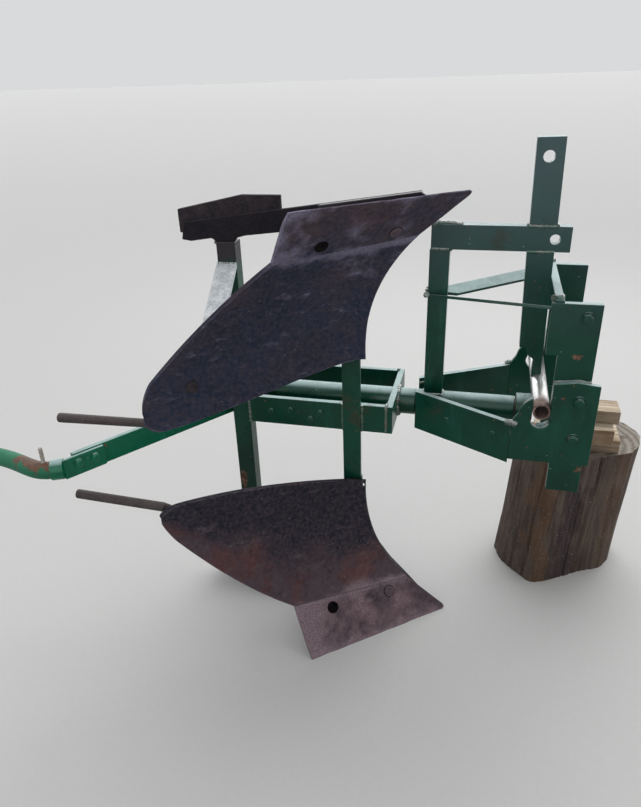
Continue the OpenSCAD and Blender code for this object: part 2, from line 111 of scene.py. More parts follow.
class JoinLook(bpy.types.PropertyGroup):
    bead: bpy.props.FloatProperty(
        name="Weld bead", description="Radius of a weld bead", subtype="DISTANCE",
        unit="LENGTH", default=0.0042)
    ripple: bpy.props.FloatProperty(
        name="Weld ripple", description="Spacing of the ripples in a weld", subtype="DISTANCE",
        unit="LENGTH", default=0.0055)
    bolt: bpy.props.FloatProperty(
        name="Bolt head", description="Width of a painted bolt head across its flats", subtype="DISTANCE",
        unit="LENGTH", default=0.019)


class StumpLook(bpy.types.PropertyGroup):
    crack: bpy.props.FloatProperty(
        name="Crack depth", description="Depth of the drying cracks", subtype="DISTANCE",
        unit="LENGTH", default=0.006)
    seed: bpy.props.IntProperty(name="Seed", description="Fixed seed of the wood's unevenness", default=5)


class StageLook(bpy.types.PropertyGroup):
    floor: bpy.props.FloatVectorProperty(
        name="Floor", description="Colour of the pale floor", subtype="COLOR", size=3, min=0, max=1,
        default=(0.66, 0.66, 0.65))
    ambient: bpy.props.FloatProperty(
        name="Ambient", description="Share of the background's white that lights the object", default=0.42)
    shine: bpy.props.FloatProperty(
        name="Shine", description="Extra brightness of the background in reflections", default=3.2)
    backdrop: bpy.props.FloatProperty(
        name="Backdrop", description="Brightness of the background behind the floor's far edge",
        default=0.85)
    sky: bpy.props.FloatProperty(
        name="Sky light", description="Strength of the soft light from the whole sky", default=1.5)
    key_watts: bpy.props.FloatProperty(
        name="Key light", description="Power of the large light above and behind", subtype="POWER",
        unit="POWER", default=22.0)


# Node helpers
class Value:
    """What a node gives, which can be worked with like a number."""

    def __init__(self, tree, socket):
        self.tree = tree
        self.socket = socket

    def __add__(self, other):
        return calc(self.tree, "ADD", self, other)

    def __mul__(self, other):
        return calc(self.tree, "MULTIPLY", self, other)

    def __sub__(self, other):
        return calc(self.tree, "SUBTRACT", self, other)

    def __rsub__(self, other):
        return calc(self.tree, "SUBTRACT", other, self)

    def __truediv__(self, other):
        return calc(self.tree, "DIVIDE", self, other)

    def __abs__(self):
        return calc(self.tree, "ABSOLUTE", self)

    __radd__ = __add__
    __rmul__ = __mul__

    def ramp(self, low, high):
        """0 at low and 1 at high, with a smooth step between them."""
        return get(self.tree, "ShaderNodeMapRange", {0: self, 1: low, 2: high, 3: 0.0, 4: 1.0},
                   interpolation_type="SMOOTHSTEP")


def feed(tree, value, socket):
    """Joins a node's result to a socket, or sets the socket to a plain value."""
    value = getattr(value, "socket", value)
    if isinstance(value, bpy.types.NodeSocket):
        tree.links.new(value, socket)
    else:
        socket.default_value = value


def add(tree, kind, inputs=None, **settings):
    """A new node, with its settings and with its inputs set or joined."""
    node = tree.nodes.new(kind)
    for key, value in settings.items():
        setattr(node, key, value)
    for key, value in (inputs or {}).items():
        feed(tree, value, node.inputs[key])
    return node


def get(tree, kind, inputs=None, output=0, **settings):
    """What one output of a new node gives."""
    return Value(tree, add(tree, kind, inputs, **settings).outputs[output])


def calc(tree, operation, a, b=0.0, clamp=False):
    """The result of one sum."""
    return get(tree, "ShaderNodeMath", {0: a, 1: b}, operation=operation, use_clamp=clamp)


def vector_calc(tree, operation, a, b=(0, 0, 0), output=0):
    """The result of one vector sum."""
    return get(tree, "ShaderNodeVectorMath", {0: a, 1: b}, output, operation=operation)


def scaled(tree, vector, factor):
    return get(tree, "ShaderNodeVectorMath", {0: vector, "Scale": factor}, operation="SCALE")


def part(tree, vector, axis):
    return get(tree, "ShaderNodeSeparateXYZ", {0: vector}, axis)


def blend(tree, factor, a, b):
    """Colour a where factor is 0, b where it is 1."""
    colours = {key: c if isinstance(c, Value) else (*c[:3], 1) for key, c in ((6, a), (7, b))}
    return get(tree, "ShaderNodeMix", {0: factor, **colours}, 2, data_type="RGBA")


def cloud(tree, place, scale, detail, rough=0.5, output=0):
    """A noise value, or a noise colour, at a place."""
    return get(tree, "ShaderNodeTexNoise", {"Vector": place, "Scale": scale, "Detail": detail,
                                            "Roughness": rough}, output)


def tinted(colour, factor):
    """The colour times one number, or times a number for each channel."""
    factors = factor if isinstance(factor, tuple) else (factor,) * 3
    return tuple(c * f for c, f in zip(colour, factors))


# The sockets of node groups that aren't plain numbers
SOCKETS = {name: "NodeSocketGeometry" for name in ("Net", "Lines", "Points", "Sheet", "Beads", "Heads")}
SOCKETS.update({"Vector": "NodeSocketVector", "Offset": "NodeSocketVector", "Finish": "NodeSocketMaterial",
                "Sides": "NodeSocketInt"})


def group_tree(name, kind, output, inputs):
    """A node group with named inputs, what each of them gives, and the socket that takes the result."""
    tree = bpy.data.node_groups.new(name, kind)
    sides = [(label, "INPUT") for label in inputs] + [(output, "OUTPUT")]
    for label, side in sides:
        kind = SOCKETS.get(label, "NodeSocketFloat")
        made = tree.interface.new_socket(name=label, in_out=side, socket_type=kind)
        if inputs.get(label) is not None:
            made.default_value = inputs[label]
    source = tree.nodes.new("NodeGroupInput")
    result = tree.nodes.new("NodeGroupOutput")
    given = {label: Value(tree, source.outputs[label]) for label in inputs}
    return tree, given, result.inputs[output]


# Effects that several materials share
def edge_wear_group():
    tree, given, mask = group_tree("Edge Wear", "ShaderNodeTree", "Mask", {
        "Vector": None, "Radius": 0.004, "Patchiness": 0.5, "Scale": 60.0})
    bevel = get(tree, "ShaderNodeBevel", {"Radius": given["Radius"]}, samples=6)
    surface = get(tree, "ShaderNodeNewGeometry", None, "True Normal")
    edge = (1.0 - vector_calc(tree, "DOT_PRODUCT", bevel, surface, "Value")).ramp(0.015, 0.14)
    patch = cloud(tree, given["Vector"], given["Scale"], 5.0, 0.65)
    feed(tree, edge * patch.ramp(0.72 - given["Patchiness"] * 0.4, 0.74), mask)
    return tree


def spots_group():
    tree, given, mask = group_tree("Spots", "ShaderNodeTree", "Mask", {
        "Vector": None, "Scale": 40.0, "Threshold": 0.62, "Softness": 0.05, "Offset": None})
    moved = vector_calc(tree, "ADD", given["Vector"], given["Offset"])
    value = cloud(tree, moved, given["Scale"], 6.0, 0.6)
    feed(tree, value.ramp(given["Threshold"], given["Threshold"] + given["Softness"]), mask)
    return tree


def fleck_group():
    tree, given, mask = group_tree("Flecks", "ShaderNodeTree", "Mask", {
        "Vector": None, "Scale": 220.0, "Size": 0.16, "Share": 0.12})
    cells = add(tree, "ShaderNodeTexVoronoi", {"Vector": given["Vector"], "Scale": given["Scale"]})
    far = Value(tree, cells.outputs["Distance"]).ramp(given["Size"] * 0.6, given["Size"])
    pick = get(tree, "ShaderNodeSeparateColor", {0: cells.outputs["Color"]})
    feed(tree, (1.0 - far) * calc(tree, "LESS_THAN", pick, given["Share"]), mask)
    return tree


GROUPS = {}
MATERIALS = {}


class Coat:
    """A material in the making, with its colour so far."""

    def __init__(self, name, shift=0.0):
        self.name = name
        self.made = bpy.data.materials.new(name)
        self.made.use_nodes = True
        self.tree = self.made.node_tree
        self.shader = self.tree.nodes["Principled BSDF"]
        coordinates = self.tree.nodes.new("ShaderNodeTexCoord")
        self.place = coordinates.outputs["Object"]
        self.normal = coordinates.outputs["Normal"]
        self.shift = shift
        self.colour = None

    def noise(self, scale, detail=4.0, rough=0.55, stretch=(1, 1, 1), shift=0.0):
        """A noise value from a stretched and shifted copy of the coordinates."""
        shift += self.shift
        moved = get(self.tree, "ShaderNodeMapping", {
            "Vector": self.place, "Location": (shift, shift * 0.7, shift * 1.3), "Scale": stretch})
        return cloud(self.tree, moved, scale, detail, rough)

    def wavy(self, scale, reach):
        """The coordinates, pushed about a little so that round spots turn ragged."""
        wander = scaled(self.tree, cloud(self.tree, self.place, scale, 2.0, output="Color"), reach)
        return vector_calc(self.tree, "ADD", self.place, wander)

    def facing(self, axis):
        """How far the surface faces along an axis."""
        return part(self.tree, self.normal, axis)

    def carried(self, name):
        """A number that the piece carries for each of its points."""
        return get(self.tree, "ShaderNodeAttribute", None, "Fac", attribute_name=name,
                   attribute_type="GEOMETRY")

    def group(self, key, **inputs):
        return get(self.tree, "ShaderNodeGroup", {"Vector": self.place, **inputs}, node_tree=GROUPS[key])

    def spots(self, scale, threshold, softness, offset):
        return self.group("spots", Scale=scale, Threshold=threshold, Softness=softness, Offset=offset)

    def edge(self, radius, patchiness, scale):
        return self.group("edge", Radius=radius, Patchiness=patchiness, Scale=scale)

    def start(self, factor, a, b):
        self.colour = blend(self.tree, factor, a, b)

    def lay(self, colour, factor):
        """Lays a colour over the colour so far, as densely as the factor says."""
        self.colour = blend(self.tree, factor, self.colour, colour)

    def finished(self, roughness, height, strength, distance, metal=0.0, gloss=0.5):
        """Joins everything to the shader, and keeps the material under the name that it was asked for."""
        bump = get(self.tree, "ShaderNodeBump", {"Height": height, "Strength": strength,
                                                 "Distance": distance})
        for name, value in (("Base Color", self.colour), ("Roughness", roughness), ("Metallic", metal),
                            ("Specular IOR Level", gloss), ("Normal", bump)):
            feed(self.tree, value, self.shader.inputs[name])
        MATERIALS[self.name] = self.made


# A painted bluish haze of sky light starts at the first height and is full at the second. This far from the
# axis the paint is worn off
HAZE_START_Z = 0.66
HAZE_FULL_Z = 1.02
BARE_FROM = 0.335


def paint_material(name, green, roughness, wear, shift, painted_haze=0.0, bare_ends=0.0, patches=()):
    """Brushed gloss paint with runs, chips down to rust, dust and a painted sky sheen on top, pale drips of
    old primer, and where asked a painted bluish haze towards the top.
    """
    coat = Coat(name, shift)
    tree = coat.tree
    pale = (green[0] * 2.3 + 0.010, green[1] * 1.7 + 0.012, green[2] * 1.8 + 0.014)
    broad = coat.noise(5.5, 4.0, 0.6)
    coat.start(broad.ramp(0.3, 0.68), tinted(green, 0.55), green)
    streak = coat.noise(22.0, 5.0, 0.65, (1, 1, 0.22), 3.1)
    coat.lay(pale, streak.ramp(0.52, 0.78) * 0.6)
    patchy = coat.noise(14.0, 6.0, 0.7, shift=1.7).ramp(0.3, 0.6)
    # Up-facing surfaces turn pale bluish grey: partly dust, partly a painted sheen of sky light
    dust_and_sheen = coat.facing("Z").ramp(0.7, 0.97) * (0.45 + patchy * 0.4)
    coat.lay((0.44, 0.58, 0.58), dust_and_sheen)
    height_z = part(tree, coat.place, "Z")
    # Painted haze: the paint turns paler and bluer from the first height to the second
    coat.lay((0.075, 0.118, 0.128), height_z.ramp(HAZE_START_Z, HAZE_FULL_Z) * (0.8 * painted_haze))
    coat.lay((0.050, 0.036, 0.020), coat.spots(7.5, 0.66 - 0.05 * wear, 0.08, (shift, 2.0, 0.5)) * 0.5)
    chip = coat.spots(62.0, 0.705 - 0.035 * wear, 0.018, (1.0, shift, 4.0))
    bare = calc(tree, "MAXIMUM", chip, coat.edge(0.0032, 0.55 * wear, 48.0))
    ragged = (coat.noise(90.0, 4.0, 0.6, shift=-shift) - 0.5) * 0.022
    for middle, radius, stretch in patches:
        off = vector_calc(tree, "MULTIPLY", vector_calc(tree, "SUBTRACT", coat.place, middle), stretch)
        away = vector_calc(tree, "LENGTH", off, output="Value") + ragged
        bare = calc(tree, "MAXIMUM", bare, away.ramp(radius, radius * 0.6) * 0.85)
    grain = coat.noise(130.0, 4.0, 0.6).ramp(0.38, 0.66)
    coat.lay(blend(tree, grain, (0.060, 0.024, 0.014), (0.20, 0.115, 0.075)), bare)
    coat.lay((0.34, 0.40, 0.36), coat.group("fleck", Scale=85.0, Size=0.14, Share=0.05) * 0.55)
    away = abs(height_z - AXIS_Z) + (streak - 0.5) * 0.06
    dark = blend(tree, broad.ramp(0.35, 0.65), (0.014, 0.013, 0.017), (0.038, 0.031, 0.038))
    coat.lay(dark, away.ramp(BARE_FROM, BARE_FROM + 0.025) * bare_ends)
    dull = coat.noise(30.0) * 0.22 + (roughness - 0.1) + bare * 0.4
    dull = calc(tree, "ADD", dull, dust_and_sheen * 0.25, clamp=True)
    brush = coat.noise(95.0, 3.0, 0.5, (1, 1, 0.16), 0.4)
    peel = coat.noise(260.0, 2.0, 0.5)
    lumps = coat.noise(24.0, 3.0, 0.5, shift=5)
    height = brush * 0.45 + peel * 0.2 + lumps * 0.9 - bare * 0.35
    coat.finished(dull, height, 0.6, 0.0012, gloss=0.2)


def scoured_material(name, slate, brown, red, pale, redness, shift):
    """Old furrow-scoured steel: slate scale, brown and red rust, paler where the piece says it is worn."""
    coat = Coat(name, shift)
    broad = coat.noise(4.2, 5.0, 0.6)
    mid = coat.noise(15.0, 6.0, 0.65, shift=2)
    fine = coat.noise(120.0, 4.0, 0.6)
    wavy = coat.wavy(160.0, 0.006)
    coat.start(broad.ramp(0.36, 0.62), slate, tinted(slate, 1.35))
    brownness = coat.carried("rusted") * 1.15 + (coat.noise(8.5, 5.0, 0.62, shift=11) - 0.5) * 1.9
    coat.lay(brown, brownness.ramp(0.1, 0.95))
    coat.lay(red, mid.ramp(0.44, 0.62) * (brownness + redness).ramp(0.45, 1.2) * 0.85)
    coat.lay(tinted(slate, 0.55), coat.noise(34.0, 5.0, 0.7, shift=13).ramp(0.52, 0.68) * 0.45)
    coat.lay(tinted(brown, 1.9), fine.ramp(0.3, 0.72) * 0.35)
    streaks = coat.noise(60.0, 4.0, 0.7, (0.35, 0.35, 1), 7)
    rubbed = (coat.carried("worn") + (mid - 0.5) * 2.3).ramp(0.3, 0.95) * 0.85
    coat.lay(pale, rubbed)
    coat.lay(tinted(pale, 1.25), streaks.ramp(0.58, 0.74) * (0.2 + rubbed * 0.5))
    coat.lay((0.26, 0.28, 0.28), coat.group("fleck", Vector=wavy, Scale=105.0, Size=0.17, Share=0.07) * 0.55)
    coat.lay((0.20, 0.19, 0.20), coat.group("fleck", Vector=wavy, Scale=230.0, Size=0.22, Share=0.1) * 0.5)
    coat.lay(tinted(pale, 1.5), coat.edge(0.003, 0.9, 30.0) * 0.55)
    grit = coat.noise(330.0, 3.0, 0.7, shift=17).ramp(0.3, 0.7)
    rough = calc(coat.tree, "ADD", 0.25, rubbed * 0.9, clamp=True)
    coat.lay(tinted(brown, 0.5), (1.0 - grit) * (rough * 0.6))
    dull = 0.52 + mid * 0.3 - rubbed * 0.16
    height = fine * 0.35 + mid * 0.9 + streaks * 0.25
    coat.finished(dull, height, 0.45, 0.0009, 0.04 + rubbed * 0.14, 0.06)


def rusty_material(name, dark, bright, paint=None, shift=0.0, metal=0.25, gloss=0.25, edges=0.5):
    """Rusty bar or pipe, with the remains of paint where a colour is given."""
    coat = Coat(name, shift)
    mid = coat.noise(38.0, 6.0, 0.65)
    fine = coat.noise(210.0, 4.0, 0.6)
    coat.start(mid.ramp(0.36, 0.7), dark, bright)
    coat.lay(tinted(bright, 1.7), fine.ramp(0.4, 0.75) * 0.4)
    if paint:
        coat.lay(paint, coat.spots(24.0, 0.44, 0.05, (shift, 0.0, 1.0)) * 0.9)
    coat.lay((0.22, 0.19, 0.17), coat.edge(0.002, 0.8, 60.0) * edges)
    coat.finished(0.5 + mid * 0.35, mid + fine * 0.5, 0.5, 0.0008, metal, gloss)


def steel_material(name):
    """Bright worn steel of the hitch tube, rusty and dark towards its ends."""
    coat = Coat(name)
    mid = coat.noise(34.0, 6.0, 0.65)
    fine = coat.noise(180.0, 5.0, 0.6, (1, 0.2, 1))
    coat.start(fine.ramp(0.35, 0.7), (0.30, 0.30, 0.29), (0.54, 0.54, 0.53))
    end = abs(part(coat.tree, coat.place, "Y") - START.y) - 0.105
    rusty = (end * 16.0 + (mid - 0.55)).ramp(-0.1, 0.5)
    coat.lay(blend(coat.tree, mid.ramp(0.4, 0.65), (0.060, 0.036, 0.030), (0.25, 0.17, 0.145)), rusty)
    coat.lay((0.085, 0.055, 0.045), coat.spots(48.0, 0.6, 0.06, (0.0, 1.0, 2.0)) * 0.6)
    dull = mid * 0.25 + (0.22 + rusty * 0.35)
    coat.finished(dull, mid + fine, 0.3, 0.0006, 1.0 - rusty * 0.75)


def weld_material(name):
    """Weld beads: whitish grey on top, a painted highlight of sky light; dark and rusty in the furrows,
    smeared with green paint.
    """
    coat = Coat(name)
    mid = coat.noise(70.0, 5.0, 0.6)
    coat.start(mid.ramp(0.4, 0.62), (0.022, 0.070, 0.052), (0.10, 0.115, 0.095))
    # Painted highlight: the beads' upper sides turn whitish grey
    coat.lay((0.42, 0.44, 0.42), coat.facing("Z").ramp(0.2, 0.9) * mid.ramp(0.35, 0.6))
    coat.lay((0.085, 0.040, 0.024), coat.spots(60.0, 0.58, 0.06, (0, 0, 0)) * 0.6)
    coat.finished(0.42, coat.noise(420.0, 3.0), 0.4, 0.0005)


def wood_material(name, dark, light, warm, across, scale, cracks, shift, rings=None, bands=(), front=None):
    """Weathered or sawn wood with fibres along one direction, warm streaks, cracks and end rings, and where a
    front colour is given, painted shade on the faces that turn to -Y.
    """
    coat = Coat(name, shift)
    tree = coat.tree
    broad = coat.noise(6.0 * scale, 4.0, 0.6, across)
    fibre = coat.noise(70.0 * scale, 6.0, 0.7, across, 1)
    thin = coat.noise(260.0 * scale, 4.0, 0.6, across, 2)
    coat.start(fibre.ramp(0.32, 0.7), dark, light)
    where = part(tree, coat.place, "X") + (coat.noise(16.0, 4.0, 0.6, (1, 1, 0.4)) - 0.5) * 0.16
    for middle, half, stain in bands:
        off = abs(where - middle)
        coat.lay(stain, off.ramp(half, half * 0.4) * 0.8)
        coat.lay(tinted(stain, 0.45), fibre.ramp(0.45, 0.3) * off.ramp(half, half * 0.5) * 0.6)
    coat.lay(warm, broad.ramp(0.46, 0.66) * 0.7)
    patch = coat.noise(9.0 * scale, 5.0, 0.65, (1, 1, 0.4), 21)
    coat.lay(tinted(dark, 0.85), patch.ramp(0.5, 0.66) * (0.75 * cracks))
    coat.lay(tinted(light, 1.5), patch.ramp(0.47, 0.34) * (0.6 * cracks))
    crumbs = coat.noise(300.0 * scale, 3.0, 0.7, shift=23).ramp(0.55, 0.72)
    coat.lay(tinted(light, 2.2), crumbs * (0.5 * cracks))
    coat.lay(tuple(min(c * 1.7, 1) for c in light), thin.ramp(0.5, 0.75) * 0.35)
    split = coat.noise(30.0 * scale, 3.0, 0.5, across, 9).ramp(0.66, 0.71) * cracks
    coat.lay(tinted(dark, 0.25), split)
    if rings:
        moved = get(tree, "ShaderNodeMapping", {"Vector": coat.place, "Location": tuple(-v for v in rings),
                                                "Scale": (1, 1, 0)})
        wave = get(tree, "ShaderNodeTexWave", {"Vector": moved, "Scale": 46.0, "Distortion": 2.2,
                                               "Detail": 3.0, "Detail Scale": 1.5}, "Fac",
                   wave_type="RINGS", rings_direction="SPHERICAL")
        cut = blend(tree, wave, (0.19, 0.165, 0.14), (0.34, 0.31, 0.275))
        spokes = coat.noise(26.0, 4.0, 0.6, shift=4).ramp(0.62, 0.7)
        cut = blend(tree, spokes * 0.6, cut, (0.07, 0.055, 0.045))
        coat.lay(cut, coat.facing("Z").ramp(0.8, 0.95))
    # Painted shade: faces turned to -Y get the darker front colour
    if front:
        coat.lay(front, coat.facing("Y").ramp(-0.6, -0.9) * broad.ramp(0.25, 0.55) * 0.75)
    flecks = coat.group("fleck", Vector=coat.wavy(150.0, 0.008), Scale=170.0, Size=0.24, Share=0.1 * cracks)
    coat.lay((0.45, 0.42, 0.38), flecks * 0.7)
    coat.finished(0.85, fibre + thin * 0.35 - split * 1.2, 0.7, 0.0016, gloss=0.15)


SLATE = (0.0115, 0.0150, 0.0225)
BROWN = (0.076, 0.055, 0.065)
RED = (0.118, 0.042, 0.036)
PALE = (0.235, 0.176, 0.200)
# Each rusty steel: its dark and its light colour, and how it differs from plain rusty bar
RUSTY = {
    "shaft_steel": ((0.03, 0.024, 0.02), (0.12, 0.10, 0.09), {"shift": 3.0, "metal": 0.7}),
    "landside_steel": ((0.007, 0.0065, 0.009), (0.022, 0.018, 0.023),
                       {"shift": 9.0, "metal": 0.0, "gloss": 0.08}),
    # The stays' near-white is partly pale steel and partly a painted reflection of the bright sky
    "brace_pale_and_painted_glare": ((0.58, 0.63, 0.67), (0.93, 0.95, 0.97), {"shift": 7.0, "metal": 0.0}),
    # Near-black painted shade: fills the empty share holes and the grooves round the plough bolts
    "black_painted_shade": ((0.004, 0.004, 0.005), (0.014, 0.011, 0.012),
                  {"shift": 8.0, "metal": 0.0, "gloss": 0.0, "edges": 0.0}),
    "rod_rust": ((0.024, 0.019, 0.019), (0.060, 0.048, 0.045), {"metal": 0.05}),
    "wear_strip_rust": ((0.013, 0.011, 0.014), (0.046, 0.036, 0.041),
                        {"shift": 6.0, "metal": 0.05, "gloss": 0.1, "edges": 0.2}),
    "peg_steel": ((0.22, 0.20, 0.18), (0.50, 0.46, 0.42), {"shift": 2.0, "metal": 0.4}),
}
# Patches of bare rust, in metres: middle, radius and stretch
HEADSTOCK_PATCHES = (((0.4535, -0.063, 0.6901), 0.007, (0.7, 1, 1.2)),
                     ((0.4892, -0.063, 0.4406), 0.009, (1, 1, 1)))
LEG_PATCHES = (((-0.2650, -0.0250, 0.2975), 0.020, (1.7, 1, 0.7)),)
# Upright bands of other colour on the stump: middle and half width along X, and colour
STUMP_BANDS = ((0.452, 0.030, (0.110, 0.062, 0.036)), (0.528, 0.034, (0.030, 0.021, 0.026)))


def make_materials(look):
    GROUPS["edge"] = edge_wear_group()
    GROUPS["spots"] = spots_group()
    GROUPS["fleck"] = fleck_group()
    green = tuple(look.frame_green)
    bright = tuple(look.lever_green)
    dull = look.gloss_roughness
    # The headstock's paint gets the painted haze towards its top
    paint_material("headstock_paint", tinted(green, (1.7, 1.08, 1.15)), dull, 0.8, 0.0, 1.0,
                   patches=HEADSTOCK_PATCHES)
    paint_material("frame_paint", green, dull, 1.0, 2.0, bare_ends=1.0, patches=LEG_PATCHES)
    paint_material("lever_paint", bright, dull - 0.04, 1.1, 4.0)
    steel_material("tube_steel")
    scoured_material("lower_scoured", SLATE, BROWN, RED, PALE, 0.25, 0.0)
    scoured_material("upper_scoured", tinted(SLATE, (1.3, 1.6, 2.0)), tinted(BROWN, 0.85), RED,
                     tinted(PALE, (1.1, 1.35, 1.7)), -0.05, 5.0)
    rusty_material("pipe_paint", (0.034, 0.026, 0.022), (0.12, 0.062, 0.038), tinted(bright, 0.75), 1.0)
    weld_material("weld_metal")
    wood_material("stump_wood", (0.038, 0.029, 0.027), (0.120, 0.090, 0.074), (0.115, 0.066, 0.036),
                  (1, 1, 0.07), 0.8, 0.8, 0.0, tuple(at(116, 146, 350)), STUMP_BANDS)
    # The blocks' front colour is painted shade on their near faces
    wood_material("block_wood", (0.30, 0.22, 0.14), (0.86, 0.76, 0.60), (0.50, 0.29, 0.15),
                  (0.06, 1, 1), 1.3, 0.25, 2.0, front=(0.15, 0.092, 0.055))
    for name, (dark, light, more) in RUSTY.items():
        rusty_material(name, dark, light, **more)


# Mesh helpers
def linked(name, data):
    """A new object in the scene."""
    made = bpy.data.objects.new(name, data)
    bpy.context.scene.collection.objects.link(made)
    return made


def mesh_object(name, points, faces, edges=()):
    data = bpy.data.meshes.new(name)
    data.from_pydata([tuple(p) for p in points], edges, faces)
    if faces:
        data.validate()
        data.shade_smooth()
    return linked(name, data)


def baked(piece):
    """The piece as a plain mesh, with its modifiers applied and removed."""
    bpy.context.view_layer.update()
    graph = bpy.context.evaluated_depsgraph_get()
    data = bpy.data.meshes.new_from_object(piece.evaluated_get(graph), preserve_all_data_layers=True,
                                           depsgraph=graph)
    name = piece.name
    bpy.data.objects.remove(piece)
    return linked(name, data)


def crisp(piece, degrees):
    """Smooth shading with sharp edges where faces meet at more than the angle."""
    piece.data.shade_smooth()
    piece.data.set_sharp_from_angle(angle=math.radians(degrees))
    return piece


def finish(piece, material, body, slot, *nodes):
    piece.data.materials.clear()
    piece.data.materials.append(MATERIALS[material])
    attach(piece, body)
    if nodes:
        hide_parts(*nodes)
    return piece


def rounded(node, material, body, slot, radius):
    """A node with the small round edges that rolled bar and brushed paint have."""
    work = bmesh.new()
    work.from_mesh(NODES[node].data)
    bmesh.ops.remove_doubles(work, verts=work.verts, dist=0.00002)
    bmesh.ops.dissolve_limit(work, angle_limit=math.radians(0.6), verts=work.verts, edges=work.edges)
    data = bpy.data.meshes.new(node + "_dressed")
    work.to_mesh(data)
    work.free()
    data.shade_smooth()
    piece = linked(node + "_dressed", data)
    modifier = piece.modifiers.new("Edges", "BEVEL")
    modifier.width = radius
    modifier.segments = 2
    modifier.limit_method = "ANGLE"
    modifier.angle_limit = math.radians(30)
    modifier.use_clamp_overlap = True
    flat = piece.modifiers.new("Flat faces", "WEIGHTED_NORMAL")
    flat.weight = 100
    flat.keep_sharp = True
    return finish(baked(piece), material, body, slot, node)


def facing_out(piece):
    """The piece with its doubled points joined and all its faces turned outwards."""
    work = bmesh.new()
    work.from_mesh(piece.data)
    bmesh.ops.remove_doubles(work, verts=work.verts, dist=0.000001)
    bmesh.ops.recalc_face_normals(work, faces=work.faces)
    if work.calc_volume(signed=True) < 0:
        bmesh.ops.reverse_faces(work, faces=work.faces)
    work.to_mesh(piece.data)
    work.free()
    return piece


# Geometry node trees
def attribute(tree, name, kind="FLOAT"):
    return get(tree, "GeometryNodeInputNamedAttribute", {"Name": name}, data_type=kind)


def dress(tree, geometry, given, socket):
    """Ends a tree: makes its copies real and gives them the material."""
    real = get(tree, "GeometryNodeRealizeInstances", {"Geometry": geometry})
    dressed = get(tree, "GeometryNodeSetMaterial", {"Geometry": real, "Material": given["Finish"]})
    feed(tree, dressed, socket)


def moldboard_tree():
    """Bends a flat net of points into a moldboard: a hollow sheet between its bottom and its top edge."""
    tree, given, sheet = group_tree("Moldboard Sheet", "GeometryNodeTree", "Sheet", {
        "Net": None, "Hollow": 0.115, "Thickness": 0.008, "Dents": 0.0008, "Finish": None})
    low = attribute(tree, "low", "FLOAT_VECTOR")
    across = attribute(tree, "across")
    run = vector_calc(tree, "SUBTRACT", attribute(tree, "top", "FLOAT_VECTOR"), low)
    width = vector_calc(tree, "LENGTH", run, output="Value")
    bulge = across * (1.0 - across) * 4.0 * width * given["Hollow"]
    place = vector_calc(tree, "ADD", low, scaled(tree, run, across))
    place = vector_calc(tree, "ADD", place, scaled(tree, attribute(tree, "bow", "FLOAT_VECTOR"), bulge))
    dent = cloud(tree, place, 9.0, 3.0)
    deep = (dent - 0.5) * given["Dents"] * 2.0 + attribute(tree, "depth") * given["Thickness"]
    place = vector_calc(tree, "ADD", place, scaled(tree, attribute(tree, "behind", "FLOAT_VECTOR"), deep))
    moved = get(tree, "GeometryNodeSetPosition", {"Geometry": given["Net"], "Position": place})
    dress(tree, moved, given, sheet)
    return tree


def bead_tree():
    """Lays a rippled weld bead, or with no ripple a plain round bar, along lines of points."""
    tree, given, beads = group_tree("Bead Along Lines", "GeometryNodeTree", "Beads", {
        "Lines": None, "Radius": 0.004, "Ripple Spacing": 0.0055, "Ripple Depth": 0.22, "Unevenness": 0.35,
        "Step": 0.0012, "Seed": 3.0, "Finish": None})
    curve = get(tree, "GeometryNodeMeshToCurve", {"Mesh": given["Lines"]})
    even = get(tree, "GeometryNodeResampleCurve", {"Curve": curve, "Length": given["Step"]}, mode="LENGTH")
    along = get(tree, "GeometryNodeSplineParameter", None, "Length")
    wave = calc(tree, "SINE", along / given["Ripple Spacing"] * (2 * math.pi)) * given["Ripple Depth"]
    place = get(tree, "GeometryNodeInputPosition")
    rough = get(tree, "ShaderNodeTexNoise", {"Vector": place, "Scale": 110.0, "Detail": 2.0,
                                             "W": given["Seed"]}, noise_dimensions="4D")
    share = 1.0 + wave + (rough - 0.5) * (given["Unevenness"] * 2.0)
    radius = share * given["Radius"] * attribute(tree, "width")
    circle = get(tree, "GeometryNodeCurvePrimitiveCircle", {"Resolution": 12, "Radius": 1.0})
    solid = get(tree, "GeometryNodeCurveToMesh", {"Curve": even, "Profile Curve": circle, "Scale": radius,
                                                  "Fill Caps": True})
    dress(tree, get(tree, "GeometryNodeSetShadeSmooth", {"Geometry": solid}), given, beads)
    return tree


def cone(tree, vertices, bottom, top, depth):
    return get(tree, "GeometryNodeMeshCone", {"Vertices": vertices, "Radius Bottom": bottom,
                                              "Radius Top": top, "Depth": depth}, fill_type="NGON")


